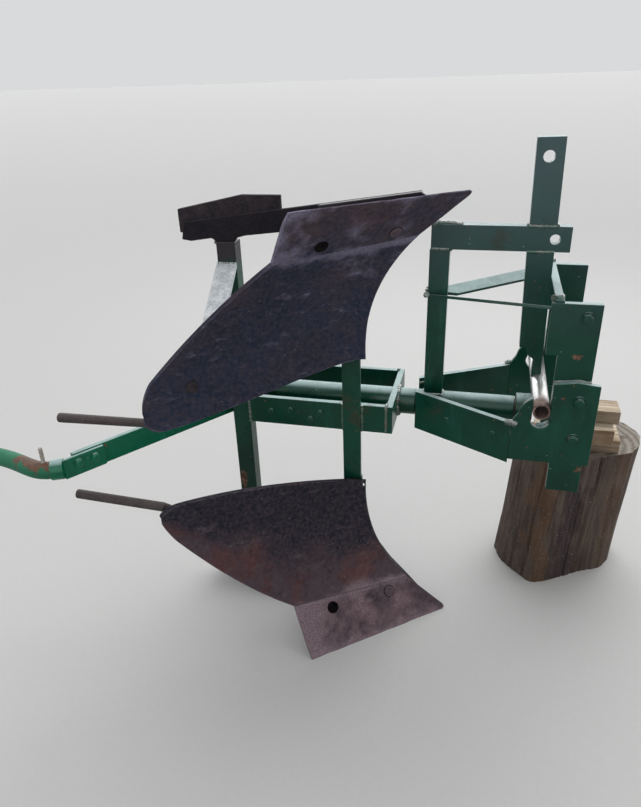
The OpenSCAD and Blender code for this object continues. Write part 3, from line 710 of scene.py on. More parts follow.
def bolt_tree():
    """Puts a bolt head on every point, turned to face the way that the point says."""
    tree, given, heads = group_tree("Bolt Heads", "GeometryNodeTree", "Heads", {
        "Points": None, "Sides": 6, "Width": 0.019, "Height": 0.008, "Crown": 0.75, "Washer": 1.3,
        "Finish": None})
    half = given["Width"] / 1.8
    height = given["Height"]
    ring = half * given["Washer"]
    body = cone(tree, given["Sides"], half, half, height * 0.72)
    crown = cone(tree, 24, half * 0.93, half * given["Crown"], height * 0.29)
    lift = get(tree, "ShaderNodeCombineXYZ", {2: height * 0.71})
    crown = get(tree, "GeometryNodeTransform", {"Geometry": crown, "Translation": lift})
    head = add(tree, "GeometryNodeJoinGeometry")
    for piece in (cone(tree, 28, ring, ring * 0.93, height * 0.22), crown, body):
        feed(tree, piece, head.inputs[0])
    facing = get(tree, "FunctionNodeAlignRotationToVector",
                 {"Vector": attribute(tree, "facing", "FLOAT_VECTOR")}, axis="Z")
    angle = attribute(tree, "turn")
    spin = get(tree, "FunctionNodeAxisAngleToRotation", {"Axis": (0, 0, 1), "Angle": angle})
    turn = get(tree, "FunctionNodeRotateRotation", {0: facing, 1: spin}, rotation_space="LOCAL")
    points = get(tree, "GeometryNodeMeshToPoints", {"Mesh": given["Points"]})
    placed = get(tree, "GeometryNodeInstanceOnPoints", {"Points": points, "Instance": head.outputs[0],
                                                        "Rotation": turn})
    dress(tree, placed, given, heads)
    return tree


TREES = {}


def with_tree(piece, build, values):
    """The piece after a geometry node tree has run on it, as a plain mesh."""
    if build not in TREES:
        TREES[build] = build()
    tree = TREES[build]
    modifier = piece.modifiers.new(tree.name, "NODES")
    modifier.node_group = tree
    for item in tree.interface.items_tree:
        if item.item_type == "SOCKET" and item.in_out == "INPUT" and item.name in values:
            modifier[item.identifier] = values[item.name]
    return baked(piece)


def put_attribute(piece, name, values):
    """Stores a number or a vector for each point of the piece."""
    vector = isinstance(values[0], Vector)
    layer = piece.data.attributes.new(name, "FLOAT_VECTOR" if vector else "FLOAT", "POINT")
    flat = [c for v in values for c in v] if vector else [float(v) for v in values]
    layer.data.foreach_set("vector" if vector else "value", flat)


def bead_piece(name, lines, radius, material, body, slot, ripple, depth, uneven):
    """Beads along lines, each line a width factor and a list of points."""
    points = []
    edges = []
    widths = []
    for factor, route in lines:
        edges += [(len(points) + k, len(points) + k + 1) for k in range(len(route) - 1)]
        points += route
        widths += [factor] * len(route)
    piece = mesh_object(name, points, [], edges)
    put_attribute(piece, "width", widths)
    piece = with_tree(piece, bead_tree, {
        "Radius": radius, "Ripple Spacing": ripple, "Ripple Depth": depth, "Unevenness": uneven,
        "Finish": MATERIALS[material]})
    return finish(piece, material, body, slot)


def bolt_piece(name, spots, material, body, slot, width, height, sides=24, crown=0.7, washer=1.0):
    """Bolt heads at spots, each a point, the way that it faces and how far it is turned."""
    piece = mesh_object(name, [point for point, _, _ in spots], [])
    put_attribute(piece, "facing", [facing for _, facing, _ in spots])
    put_attribute(piece, "turn", [turn for _, _, turn in spots])
    piece = with_tree(piece, bolt_tree, {
        "Sides": sides, "Width": width, "Height": height, "Crown": crown, "Washer": washer,
        "Finish": MATERIALS[material]})
    return finish(crisp(piece, 28), material, body, slot)


CUTTER_SIDES = 28


def cut_out(piece, point, facing, radius, outside, inside):
    """The piece with a round hole cut along a direction, from outside to inside its surface."""
    axis = facing.normalized()
    side = axis.orthogonal().normalized()
    other = axis.cross(side)
    n = CUTTER_SIDES
    points = []
    for depth in (-outside, inside):
        for k in range(n):
            a = 2 * math.pi * k / n
            points.append(point - axis * depth + (side * math.cos(a) + other * math.sin(a)) * radius)
    walls = [(k, k + n, (k + 1) % n + n, (k + 1) % n) for k in range(n)]
    faces = [tuple(range(n)), *walls, tuple(reversed(range(n, 2 * n)))]
    cutter = facing_out(mesh_object("cutter", points, faces))
    modifier = piece.modifiers.new("Cut", "BOOLEAN")
    modifier.operation = "DIFFERENCE"
    modifier.solver = "EXACT"
    modifier.object = cutter
    piece = baked(piece)
    bpy.data.objects.remove(cutter)
    return piece


# Shape of a plough body, in millimetres from the hitch tube, as it stands on the ground
SHIN_Y = -125.0
SHARE_TIP = Vector((-156, SHIN_Y, 0))
SHARE_WING = Vector((-440, -355, 0))
SHARE_SLOPE = math.radians(54)
SHARE_TURN = math.atan2(SHARE_WING.y - SHARE_TIP.y, SHARE_WING.x - SHARE_TIP.x)
SHARE_L = (SHARE_WING - SHARE_TIP).length
SHARE_LOW_JOINT = (80.0, 101.0)
SHARE_HIGH_JOINT = (SHARE_L + 6, 125.0)
POINT_R = 16
SHIN_TOP = Vector((-358, SHIN_Y, 344))
TAIL_LOW = Vector((-745, -385, 344))
TAIL_TOP = Vector((-724, -407, 408))
BOTTOM_BOW = Vector((-619, -360, 200))
TOP_BOW = (Vector((-420, SHIN_Y, 342)), Vector((-600, -290, 412)))
TAIL_TRIM = 0.42
TAIL_ROW = 13.0
ROWS = 14
WING_ROW = 6
COLUMNS = 8
ALONG_SHARE = Vector((math.cos(SHARE_TURN), math.sin(SHARE_TURN), 0))
UP_SHARE = Vector((math.sin(SHARE_TURN) * math.cos(SHARE_SLOPE),
                   -math.cos(SHARE_TURN) * math.cos(SHARE_SLOPE), math.sin(SHARE_SLOPE)))


def share_point(p, q):
    return SHARE_TIP + ALONG_SHARE * p + UP_SHARE * q


SHARE_BACK = ALONG_SHARE.cross(share_point(0, 1) - share_point(0, 0)).normalized()
SHIN_LOW = share_point(SHARE_LOW_JOINT[0], SHARE_LOW_JOINT[1] + 1)
WING_JOINT = share_point(SHARE_HIGH_JOINT[0], SHARE_HIGH_JOINT[1] + 1)
SHIN_BOW = Vector((SHIN_LOW.z - SHIN_TOP.z, 0, SHIN_TOP.x - SHIN_LOW.x)).normalized()


def bow(points, t):
    """A point on the curve that a few points draw between them."""
    while len(points) > 1:
        points = [a.lerp(b, t) for a, b in zip(points, points[1:])]
    return points[0]


def bottom_line(i):
    if i <= WING_ROW:
        return SHIN_LOW.lerp(WING_JOINT, i / WING_ROW)
    return bow([WING_JOINT, BOTTOM_BOW, TAIL_LOW], (i - WING_ROW) / (ROWS - WING_ROW))


def top_line(i):
    return bow([SHIN_TOP, TOP_BOW[0], TOP_BOW[1], TAIL_TOP], i / ROWS)


def trim(i):
    """How far the round tail draws both edges in."""
    u = min(max((i - TAIL_ROW) / (ROWS - TAIL_ROW), 0), 1)
    return TAIL_TRIM * (1 - math.sqrt(1 - u * u))


def bottom_edge(i):
    return bottom_line(i).lerp(top_line(i), trim(i))


def top_edge(i):
    return top_line(i).lerp(bottom_line(i), trim(i))


def row_bow(i):
    """The way that a row of the moldboard bulges."""
    before = max(i - 1, 0)
    after = min(i + 1, ROWS)
    along = top_edge(after) + bottom_edge(after) - top_edge(before) - bottom_edge(before)
    back = along.cross(top_edge(i) - bottom_edge(i)).normalized()
    return SHIN_BOW.lerp(back, min(i / 3, 1)).normalized()


def face_point(i, j, hollow):
    """A point on the moldboard's face, by row and column."""
    t = j / COLUMNS
    low = bottom_edge(i)
    top = top_edge(i)
    return low.lerp(top, t) + row_bow(i) * hollow * (top - low).length * 4 * t * (1 - t)


def face_back(i, j, hollow):
    """The way straight back from the moldboard's face."""
    a = face_point(min(i + 1, ROWS), j, hollow) - face_point(max(i - 1, 0), j, hollow)
    b = face_point(i, min(j + 1, COLUMNS), hollow) - face_point(i, max(j - 1, 0), hollow)
    return a.cross(b).normalized()


def closed_net(m, n):
    """Faces of a closed slab over two nets of (m + 1) by (n + 1) points, front first."""
    w = n + 1
    b = (m + 1) * w
    faces = []
    for i in range(m):
        for j in range(n):
            p = i * w + j
            faces.append((p, p + 1, p + w + 1, p + w))
            faces.append((b + p, b + p + w, b + p + w + 1, b + p + 1))
    for i in range(m):
        p = i * w
        q = i * w + n
        faces.append((p, p + w, b + p + w, b + p))
        faces.append((q, b + q, b + q + w, q + w))
    for j in range(n):
        p = m * w + j
        faces.append((j, b + j, b + j + 1, j + 1))
        faces.append((p, p + 1, b + p + 1, b + p))
    return faces


BOARD_ROWS = 98
BOARD_COLUMNS = 48
# The last tenth of a moldboard's rows is spaced for its round tail
ROUND_FROM = 0.9


def moldboard_piece(upper, look):
    """A moldboard from the plough body's own rule, on a finer net than the solid has."""
    key, turn, flip = body_side(upper)
    shaping = ("low", "top", "bow", "behind", "across", "depth")
    fields = {name: [] for name in (*shaping, "rusted", "worn")}
    points = []
    for side in (0, 1):
        for r in range(BOARD_ROWS + 1):
            s = r / BOARD_ROWS
            i = ROWS * s
            if s > ROUND_FROM:
                i = TAIL_ROW + (ROWS - TAIL_ROW) * math.sin((s - ROUND_FROM) / 0.1 * math.pi / 2)
            for c in range(BOARD_COLUMNS + 1):
                t = c / BOARD_COLUMNS
                low_rust = max(0.0, 1 - t * 1.45)
                points.append(turn(at(*face_point(i, t * COLUMNS, look.hollow))))
                fields["low"].append(turn(at(*bottom_edge(i))))
                fields["top"].append(turn(at(*top_edge(i))))
                fields["bow"].append(row_bow(i) * flip)
                fields["behind"].append(face_back(i, t * COLUMNS, look.hollow) * flip)
                fields["across"].append(t)
                fields["depth"].append(side)
                fields["rusted"].append(0.15 + 0.15 * low_rust if upper else low_rust * 0.95)
                rubbed = max(0.0, 1 - t * 11) * 0.9 + 0.35 * low_rust
                fields["worn"].append(rubbed * max(0.0, 1 - s * 1.5))
    piece = mesh_object(key + "_moldboard_sheet", points, closed_net(BOARD_ROWS, BOARD_COLUMNS))
    for name, values in fields.items():
        put_attribute(piece, name, values)
    piece = with_tree(piece, moldboard_tree, {
        "Hollow": look.hollow, "Thickness": look.sheet, "Dents": look.dents,
        "Finish": MATERIALS[key + "_scoured"]})
    for name in shaping:
        piece.data.attributes.remove(piece.data.attributes[name])
    return facing_out(piece)


SHARE_ROWS = 72
SHARE_COLUMNS = 30
# In millimetres: the thinned cutting edge, its notches, the blade's waves and the width of its worn bands
EDGE_THICK = 2.2
EDGE_WIDTH = 26
NOTCH_L = 38
NOTCH_DEPTH = 2.2
WAVE_L = 60
WAVE_DEPTH = 0.7
WORN_REAR = 34
WORN_BAND = 9


def share_piece(upper, look):
    """A share blade with a thinned, uneven cutting edge."""
    key, turn, _ = body_side(upper)
    corner = [Vector((*place, 0)) for place in ((0, 0), (SHARE_L, 0), SHARE_HIGH_JOINT, SHARE_LOW_JOINT)]
    front = []
    back = []
    worn = []
    for r in range(SHARE_ROWS + 1):
        s = r / SHARE_ROWS
        for c in range(SHARE_COLUMNS + 1):
            t = c / SHARE_COLUMNS
            flat = corner[0].lerp(corner[1], s).lerp(corner[3].lerp(corner[2], s), t)
            blunt = max(0.0, POINT_R - flat.y)
            least = POINT_R - math.sqrt(max(0.0, POINT_R * POINT_R - blunt * blunt))
            flat.x += max(0.0, least - flat.x + flat.y * 0.78) * max(0.0, 1 - s * 6)
            uneven = noise.noise(Vector((flat.x / NOTCH_L, 3.1 if upper else 8.2, 0))) * NOTCH_DEPTH
            thick = EDGE_THICK + (look.sheet * 1000 - EDGE_THICK) * min(1, flat.y / EDGE_WIDTH)
            here = share_point(flat.x, flat.y + max(0.0, uneven) * (1 - t) ** 2)
            here = here + SHARE_BACK * noise.noise(here / WAVE_L) * WAVE_DEPTH
            front.append(turn(at(*here)))
            back.append(turn(at(*(here + SHARE_BACK * thick))))
            rear = math.exp(-(1 - s) * SHARE_L / WORN_REAR)
            cut = math.exp(-flat.y / WORN_BAND)
            joint = math.exp(-(1 - t) * SHARE_HIGH_JOINT[1] / WORN_BAND)
            worn.append((0.52 + 0.75 * rear + 0.5 * cut + 0.45 * joint) * (0.5 if upper else 1))
    piece = mesh_object(key + "_share_blade", front + back, closed_net(SHARE_ROWS, SHARE_COLUMNS))
    put_attribute(piece, "worn", worn + worn)
    put_attribute(piece, "rusted", [0.5 if upper else 0.8] * len(front + back))
    if not upper:
        for vertex in piece.data.vertices:
            vertex.co.z = max(vertex.co.z, 0.0)
    return facing_out(piece)


# Operators, one for each piece or group of like pieces
class PLOUGH_OT_materials(bpy.types.Operator):
    """Builds the paint, steel, rust and wood of the plough"""
    bl_idname = "plough.materials"
    bl_label = "Build Materials"

    def execute(self, context):
        make_materials(context.scene.plough_paint)
        return {"FINISHED"}


HEADSTOCK_PLATES = ["near_post", "far_post", "near_ear", "far_ear", "near_foot", "far_foot", "mast",
                    "mast_foot", "top_bar", "rear_post", "near_stay_bar", "far_stay_bar", "near_arm",
                    "far_arm", "bearing_sleeve"]
FRAME_PLATES = ["hub_tube", "shaft_collar", "near_bar", "far_bar", "front_cross", "rear_cross", "front_leg",
                "rear_leg", "lower_frog", "upper_frog"]


class PLOUGH_OT_frame_paint(bpy.types.Operator):
    """Dresses the painted bars and plates, with rounded edges"""
    bl_idname = "plough.frame_paint"
    bl_label = "Dress Painted Bars"

    def execute(self, context):
        radius = context.scene.plough_paint.edge_round
        for node in HEADSTOCK_PLATES:
            rounded(node, "headstock_paint", STILL, "green_paint", radius)
        for node in FRAME_PLATES:
            rounded(node, "frame_paint", TURNING, "green_paint", radius)
        rounded("cross_strap", "headstock_paint", STILL, "bare_steel", 0.001)
        rounded("hitch_tube", "tube_steel", STILL, "bare_steel", 0.0006)
        rounded("turnover_shaft", "shaft_steel", TURNING, "bare_steel", 0.0015)
        for side in ("lower", "upper"):
            rounded(side + "_wear_strip", "wear_strip_rust", TURNING, "rusty_steel", 0.0015)
            rounded(side + "_landside", "landside_steel", TURNING, "rusty_steel", 0.002)
            rounded(side + "_stay", "brace_pale_and_painted_glare", TURNING, "bare_steel", 0.001)
        return {"FINISHED"}


# How far a disc or bolt head is let into the surface, so that none floats above it
SUNK = 0.0003
# The slot at the lower moldboard's upper front corner: its top end, how far down each cut is, and their radius
SLOT_TOP = (-363.5, -125, 335)
SLOT_STEPS = (0, 0.0035, 0.007)
SLOT_R = 0.0026
SHARE_HOLE = (-411.3, -260.9, 75.8)


class PLOUGH_OT_bodies(bpy.types.Operator):
    """Makes the hollow moldboards and the worn shares of both plough bodies"""
    bl_idname = "plough.bodies"
    bl_label = "Make Moldboards and Shares"

    def execute(self, context):
        look = context.scene.plough_body
        for upper in (False, True):
            key, turn, flip = body_side(upper)
            board = moldboard_piece(upper, look)
            if not upper:
                for drop in SLOT_STEPS:
                    spot = at(*SLOT_TOP) - Vector((0, 0, drop))
                    board = cut_out(board, spot, Vector((0.15, -1, 0)), SLOT_R, 0.02, 0.03)
            finish(crisp(board, 40), key + "_scoured", TURNING, "moldboard_steel", key + "_moldboard")
            blade = crisp(share_piece(upper, look), 40)
            finish(blade, key + "_scoured", TURNING, "share_steel", key + "_share")
            # A near-black disc in each share's empty bolt hole is painted shade of the hole's inside
            outward = (-SHARE_BACK) * flip
            spots = [(turn(at(*SHARE_HOLE)) - outward * SUNK, outward, 0)]
            bolt_piece(key + "_share_hole_painted_shade", spots, "black_painted_shade", TURNING, "share_steel", 0.0245, 0.0009,
                       crown=0.8)
        return {"FINISHED"}


class PLOUGH_OT_lever(bpy.types.Operator):
    """Dresses the hand lever, its splice, socket, pipe grip and peg"""
    bl_idname = "plough.lever"
    bl_label = "Dress Hand Lever"

    def execute(self, context):
        for node in ("lever_bar", "lever_splice", "lever_socket"):
            rounded(node, "lever_paint", TURNING, "bright_green_paint", 0.002)
        rounded("lever_pipe", "pipe_paint", TURNING, "rusty_steel", 0.0012)
        rounded("lever_peg", "peg_steel", TURNING, "bare_steel", 0.0012)
        return {"FINISHED"}


class PLOUGH_OT_tail_rods(bpy.types.Operator):
    """Dresses the rusty round rods behind the moldboards"""
    bl_idname = "plough.tail_rods"
    bl_label = "Dress Tail Rods"

    def execute(self, context):
        for side in ("lower", "upper"):
            rounded(side + "_tail_rod", "rod_rust", TURNING, "rusty_steel", 0.0015)
        return {"FINISHED"}


def ring_line(centre, normal, radius, steps=28):
    """Points on a full ring round a centre, seen along a normal."""
    axis = Vector(normal).normalized()
    side = axis.orthogonal().normalized()
    if abs(axis.x) > 0.9:
        side = Vector((0, 1, 0))
    other = axis.cross(side)
    angles = [math.radians(360.0 * k / steps) for k in range(steps + 1)]
    return [centre + (side * math.cos(a) + other * math.sin(a)) * radius for a in angles]


# Radii of the weld rings round hub and shaft, and how deep and uneven a bead's ripples are
HUB_RING = 0.0315
SHAFT_RING = 0.0255
WELD_DEPTH = 0.1
WELD_UNEVEN = 0.6


class PLOUGH_OT_welds(bpy.types.Operator):
    """Lays the weld beads of headstock and turning frame"""
    bl_idname = "plough.welds"
    bl_label = "Lay Weld Beads"

    def execute(self, context):
        look = context.scene.plough_join
        z = AXIS_Z * 1000
        still = []
        for s in (-1, 1):
            still += [
                (1.5, [(-66, s * 150, z + 46), (-54, s * 153, z + 48), (-44, s * 156, z + 44)]),
                (0.7, [(-57, s * 152, z + 45), (-55, s * 152, z + 20)]),
                (0.7, [(-259, s * 30, z + 34), (-205, s * 44, z + 44)]),
                (0.6, [(18, s * 143, z + 139), (60, s * 143.5, z + 145), (86, s * 143.5, z + 142)]),
                (1.0, [(31, s * 143, z - 39), (93, s * 143, z - 39)]),
                (1.7, [(-1, s * 136, z + 304), (2, s * 130, z + 305), (16, s * 134, z + 304)])]
        still += [
            (1.0, [(-245, -13, z + 27), (-204, -13, z + 27), (-204, 13, z + 27), (-245, 13, z + 27),
                   (-245, -13, z + 27)]),
            (0.8, [(-241, -12.5, 855), (-206, -12.5, 855)]),
            (1.0, [(-203.5, -10, 855), (-203.5, 10, 855)]),
            (1.4, [(-241, -9, 905), (-228, -6, 907), (-212, -3, 906), (-196, -5, 906), (-182, -9, 905)]),
            (1.1, [(-240, 6, 905), (-214, 8, 905)]),
            (0.8, [(-54, -13, 905), (-2, -13, 905)]),
            (1.0, [(-53.5, -10, 905), (-53.5, 10, 905)]),
            (1.0, [(-0.5, -10, 905), (-0.5, 10, 905)]),
            (0.7, [(-53, -13, 855), (-1, -13, 855)]),
            (1.2, [(-249, -16, 757), (-246, -22, 762)]),
            (1.2, [(-249, 16, 757), (-246, 22, 762)])]
        moving = [
            (0.8, [(-317, -105, z - 31), (-317, -105, z + 33), (-317, -92, z + 34)]),
            (0.8, [(-317, 105, z - 31), (-317, 105, z + 33), (-317, 92, z + 34)]),
            (0.9, [(-413, -105, z - 32), (-413, -105, z + 33)]),
            (0.9, [(-371, -105, z - 32), (-371, -105, z + 33)]),
            (0.8, [(-412, -106, z + 34), (-372, -106, z + 34)]),
            (0.9, [(-634, -104, z - 32), (-634, -104, z + 33)]),
            (0.9, [(-634, -98, z + 34), (-634, -91, z + 34)])]
        for s in (-1, 1):
            moving += [
                (0.9, [(-677, -100, z + s * 383), (-677, -96, z + s * 383)]),
                (0.9, [(-674, -106, z + s * 339), (-637, -106, z + s * 339)])]
        rings = [(1.2, ring_line(at(-302.5, 0, z), (1, 0, 0), HUB_RING)),
                 (1.0, ring_line(at(-649.5, 0, z), (1, 0, 0), SHAFT_RING))]
        for name, first, rows, body in (("headstock_welds", [], still, STILL),
                                        ("turning_frame_welds", rings, moving, TURNING)):
            lines = first + [(width, [at(*point) for point in route]) for width, route in rows]
            bead_piece(name, lines, look.bead, "weld_metal", body, "green_paint", look.ripple, WELD_DEPTH,
                       WELD_UNEVEN)
        return {"FINISHED"}


# Bolts, plugs and rivets, in millimetres. A post bolt ends with its turn, a bar bolt is given by x and z, and
# the two on a moldboard by row and column
POST_BOLTS = ((60.8, -143, 766.6, 0.2), (66.9, -155, 599.5, 0.9), (66.0, -155, 516.4, 0.5))
ARM_PLUGS = ((-187.6, -82.9, 495.8), (-89.2, -137, 501.4))
NEAR_BAR_BOLTS = ((-581.7, 494.8), (-535, 502), (-466, 501), (-489, 483))
FAR_BAR_BOLTS = ((-581.7, 494.8), (-466, 501))
LEVER_RIVETS = ((-894.2, -401.2, 501.5), (-874.4, -372.3, 500.4))
SHARE_BOLT = (-293.5, -172.8, 68)
BOARD_BOLT = (1.2, 3.3)
TAIL_BOLT = (11.2, 4.6)


class PLOUGH_OT_bolts(bpy.types.Operator):
    """Sets the bolt heads and rivets"""
    bl_idname = "plough.bolts"
    bl_label = "Set Bolts and Rivets"

    def execute(self, context):
        near = Vector((0, -1, 0))
        far = Vector((0, 1, 0))
        spots = []
        for x, y, z, turn in POST_BOLTS:
            spots += [(at(x, y, z), near, turn), (at(x, -y, z), far, turn + 0.4)]
        bolt_piece("post_bolts", spots, "headstock_paint", STILL, "green_paint",
                   context.scene.plough_join.bolt, 0.0075, 6, 0.75, 1.3)
        slope = Vector((-0.482, -0.876, 0))
        spots = []
        for x, y, z in ARM_PLUGS:
            spots += [(at(x, y, z), slope, 0.3), (at(x, -y, z), Vector((slope.x, -slope.y, 0)), 0.3)]
        bolt_piece("arm_plugs", spots, "headstock_paint", STILL, "green_paint", 0.016, 0.0022, washer=1.05)
        spots = [(at(x, -105, z), near, 0.1) for x, z in NEAR_BAR_BOLTS]
        spots += [(at(x, 105, z), far, 0.5) for x, z in FAR_BAR_BOLTS]
        bolt_piece("bar_bolts", spots, "frame_paint", TURNING, "green_paint", 0.013, 0.0045, 24, 0.6, 1.1)
        spots = [(at(*place), Vector((0.824, -0.566, 0)), 0) for place in LEVER_RIVETS]
        bolt_piece("lever_rivets", spots, "lever_paint", TURNING, "bright_green_paint", 0.017, 0.007,
                   20, 0.55, 1.02)
        hollow = context.scene.plough_body.hollow
        facing = -face_back(*BOARD_BOLT, hollow)
        spots = [(at(*face_point(*BOARD_BOLT, hollow)) - facing * SUNK, facing, 0)]
        for upper in (False, True):
            _, turn, flip = body_side(upper)
            facing = -(SHARE_BACK * flip)
            spots.append((turn(at(*SHARE_BOLT)) - facing * SUNK, facing, 0))
        heads = bolt_piece("body_bolts", spots, "lower_scoured", TURNING, "moldboard_steel", 0.0215,
                           0.0016, crown=0.9)
        on_share = [1.0 if abs(vertex.co.z - AXIS_Z) > 0.38 else 0.35 for vertex in heads.data.vertices]
        put_attribute(heads, "worn", [0.52 * share for share in on_share])
        put_attribute(heads, "rusted", [0.8 * share for share in on_share])
        # Thin near-black rings round the plough bolts are a painted shadow in the grooves
        rings = [(1.0, ring_line(point + normal * 0.0002, normal, 0.0126)) for point, normal, _ in spots]
        bead_piece("bolt_groove_painted_shadow", rings, 0.0009, "black_painted_shade", TURNING, "moldboard_steel", 0.01, 0.0, 0.5)
        facing = -(face_back(*TAIL_BOLT, hollow) * flip)
        spots = [(turned_over(at(*face_point(*TAIL_BOLT, hollow))) - facing * 0.0005, facing, 0)]
        bolt_piece("tail_bolt", spots, "wear_strip_rust", TURNING, "moldboard_steel", 0.021, 0.0055,
                   washer=1.12)
        return {"FINISHED"}


# The stump, in millimetres from the hitch tube. Each crack: angle, depth, and where up the stump it runs
STUMP_OUTLINE = [(-50, 137), (-31, 77), (-5, 50), (20, 24), (44, 2), (82, 18), (120, 41), (172, 75),
                 (224, 98), (249, 143), (258, 200), (228, 255), (150, 282), (50, 268), (-18, 208)]
STUMP_LEAN = (24, 6)
STUMP_MIDDLE = Vector((100, 140, 0))
STUMP_CRACKS = ((0.8, 0.9, 0.1, 1.0), (1.9, 0.7, 0.4, 1.0), (2.7, 1.0, 0.0, 0.8), (3.55, 0.8, 0.3, 1.0),
                (4.12, 1.1, 0.0, 1.0), (4.42, 0.7, 0.35, 1.0), (4.95, 0.9, 0.0, 0.7), (5.3, 1.0, 0.2, 1.0),
                (5.8, 0.7, 0.5, 1.0), (6.1, 0.9, 0.0, 0.6))
STUMP_SIDES = 360
STUMP_LEVELS = 44
STUMP_RINGS = (0.93, 0.8, 0.6, 0.4, 0.2, 0.08)
STUMP_INSET = 1.5
SOFTENED = range(-4, 5)
CRACK_HALF = 2.2
TOP_INSET = 0.0006


def outline_reach(ray):
    """How far the stump's outline is from its middle along a ray."""
    corners = [Vector((x, y, 0)) for x, y in STUMP_OUTLINE]
    best = None
    for a, b in zip(corners, corners[1:] + corners[:1]):
        edge = b - a
        cross = ray.x * edge.y - ray.y * edge.x
        if abs(cross) < 1e-9:
            continue
        away = a - STUMP_MIDDLE
        reach = (away.x * edge.y - away.y * edge.x) / cross
        along = (away.x * ray.y - away.y * ray.x) / cross
        if reach > 0 and -1e-6 <= along <= 1 + 1e-6:
            best = reach
    return best


def bark(ray, angle, reach, h, look):
    """How far the stump's side stands out at an angle and a part h of its height, with its cracks."""
    spot = Vector((ray.x * 9, ray.y * 9, h * 1.2 + look.seed))
    rough = noise.noise(spot) * 2.4 + noise.noise(Vector((ray.x * 46, ray.y * 46, h * 2.2))) * 1.3
    for where, strength, low, high in STUMP_CRACKS:
        wander = where + 0.03 * noise.noise(Vector((h * 3, where, look.seed)))
        gap = abs((angle - wander + math.pi) % (2 * math.pi) - math.pi) * reach
        reach_h = max(0.0, min(1.0, (h - low + 0.05) * 8)) * max(0.0, min(1.0, (high - h + 0.05) * 8))
        rough -= look.crack * 1000 * strength * reach_h * math.exp(-(gap / CRACK_HALF) ** 2)
    return rough


class PLOUGH_OT_stump(bpy.types.Operator):
    """Carves the weathered stump with its cracks and end grain"""
    bl_idname = "plough.stump"
    bl_label = "Carve Stump"

    def execute(self, context):
        look = context.scene.plough_stump
        n = STUMP_SIDES
        low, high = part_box("stump")
        height = (high.z - low.z) * 1000
        angles = [2 * math.pi * k / n for k in range(n)]
        rays = [Vector((math.cos(angle), math.sin(angle), 0)) for angle in angles]
        outline = [outline_reach(ray) for ray in rays]
        softened = [sum(outline[(k + d) % n] for d in SOFTENED) / len(SOFTENED) for k in range(n)]
        points = []
        for level in range(STUMP_LEVELS + 1):
            h = level / STUMP_LEVELS
            for ray, angle, reach in zip(rays, angles, softened):
                foot = 1.0 - 0.02 * min(1, h * 3)
                r = reach * foot + bark(ray, angle, reach, h, look) - STUMP_INSET
                points.append(at(STUMP_MIDDLE.x + ray.x * r + STUMP_LEAN[0] * h,
                                 STUMP_MIDDLE.y + ray.y * r + STUMP_LEAN[1] * h, h * height))
        starts = [level * n for level in range(STUMP_LEVELS + 1)]
        rim = points[starts[-1]:]
        centre = at(STUMP_MIDDLE.x + STUMP_LEAN[0], STUMP_MIDDLE.y + STUMP_LEAN[1], height)
        for ring in STUMP_RINGS:
            starts.append(len(points))
            for p in rim:
                inner = centre.lerp(p, ring)
                inner.z = height / 1000 - TOP_INSET - TOP_INSET * noise.noise(inner * 60)
                points.append(inner)
        faces = []
        for a, b in zip(starts, starts[1:]):
            faces += [(a + k, a + (k + 1) % n, b + (k + 1) % n, b + k) for k in range(n)]
        faces += [(starts[-1] + k, starts[-1] + (k + 1) % n, len(points)) for k in range(n)]
        points.append(Vector((centre.x, centre.y, height / 1000 - TOP_INSET)))
        faces.append(tuple(reversed(range(n))))
        piece = crisp(facing_out(mesh_object("stump_carved", points, faces)), 50)
        finish(piece, "stump_wood", STILL, "stump_wood", "stump")
        return {"FINISHED"}


class PLOUGH_OT_blocks(bpy.types.Operator):
    """Dresses the sawn packing blocks"""
    bl_idname = "plough.blocks"
    bl_label = "Dress Packing Blocks"

    def execute(self, context):
        for node in ("low_block", "middle_block", "top_block"):
            rounded(node, "block_wood", STILL, "block_wood", 0.0015)
        return {"FINISHED"}


def lamp(name, size, power, place, target):
    data = bpy.data.lights.new(name, "AREA")
    data.shape = "RECTANGLE"
    data.size, data.size_y = size
    data.energy = power
    made = linked(name, data)
    made.location = place
    made.rotation_euler = (Vector(target) - Vector(place)).to_track_quat("-Z", "Y").to_euler()


# The camera: sensor, focal length and picture height in pixels, where it stands and how it is turned
SENSOR = 24
FOCAL = 662.49
PICTURE_HEIGHT = 807
CAMERA_PLACE = (-125.9, -1381.2, 1199.4)
CAMERA_TURN = math.radians(14.861)
CAMERA_PITCH = math.radians(27.061)
CAMERA_ROLL = math.radians(-2.119)
# Half the floor's side, in metres, and the colour of the background
FLOOR_HALF = 60
WORLD_COLOUR = (0.815, 0.825, 0.835, 1)


def camera_matrix():
    right = Vector((math.cos(CAMERA_TURN), math.sin(CAMERA_TURN), 0))
    level = Vector((-math.sin(CAMERA_TURN), math.cos(CAMERA_TURN), 0))
    forward = level * math.cos(CAMERA_PITCH) - Vector((0, 0, math.sin(CAMERA_PITCH)))
    above = level * math.sin(CAMERA_PITCH) + Vector((0, 0, math.cos(CAMERA_PITCH)))
    side = right * math.cos(CAMERA_ROLL) + above * math.sin(CAMERA_ROLL)
    top = above * math.cos(CAMERA_ROLL) - right * math.sin(CAMERA_ROLL)
    columns = (side, top, -forward, at(*CAMERA_PLACE))
    return Matrix([[column[row] for column in columns] for row in range(3)] + [[0, 0, 0, 1]])


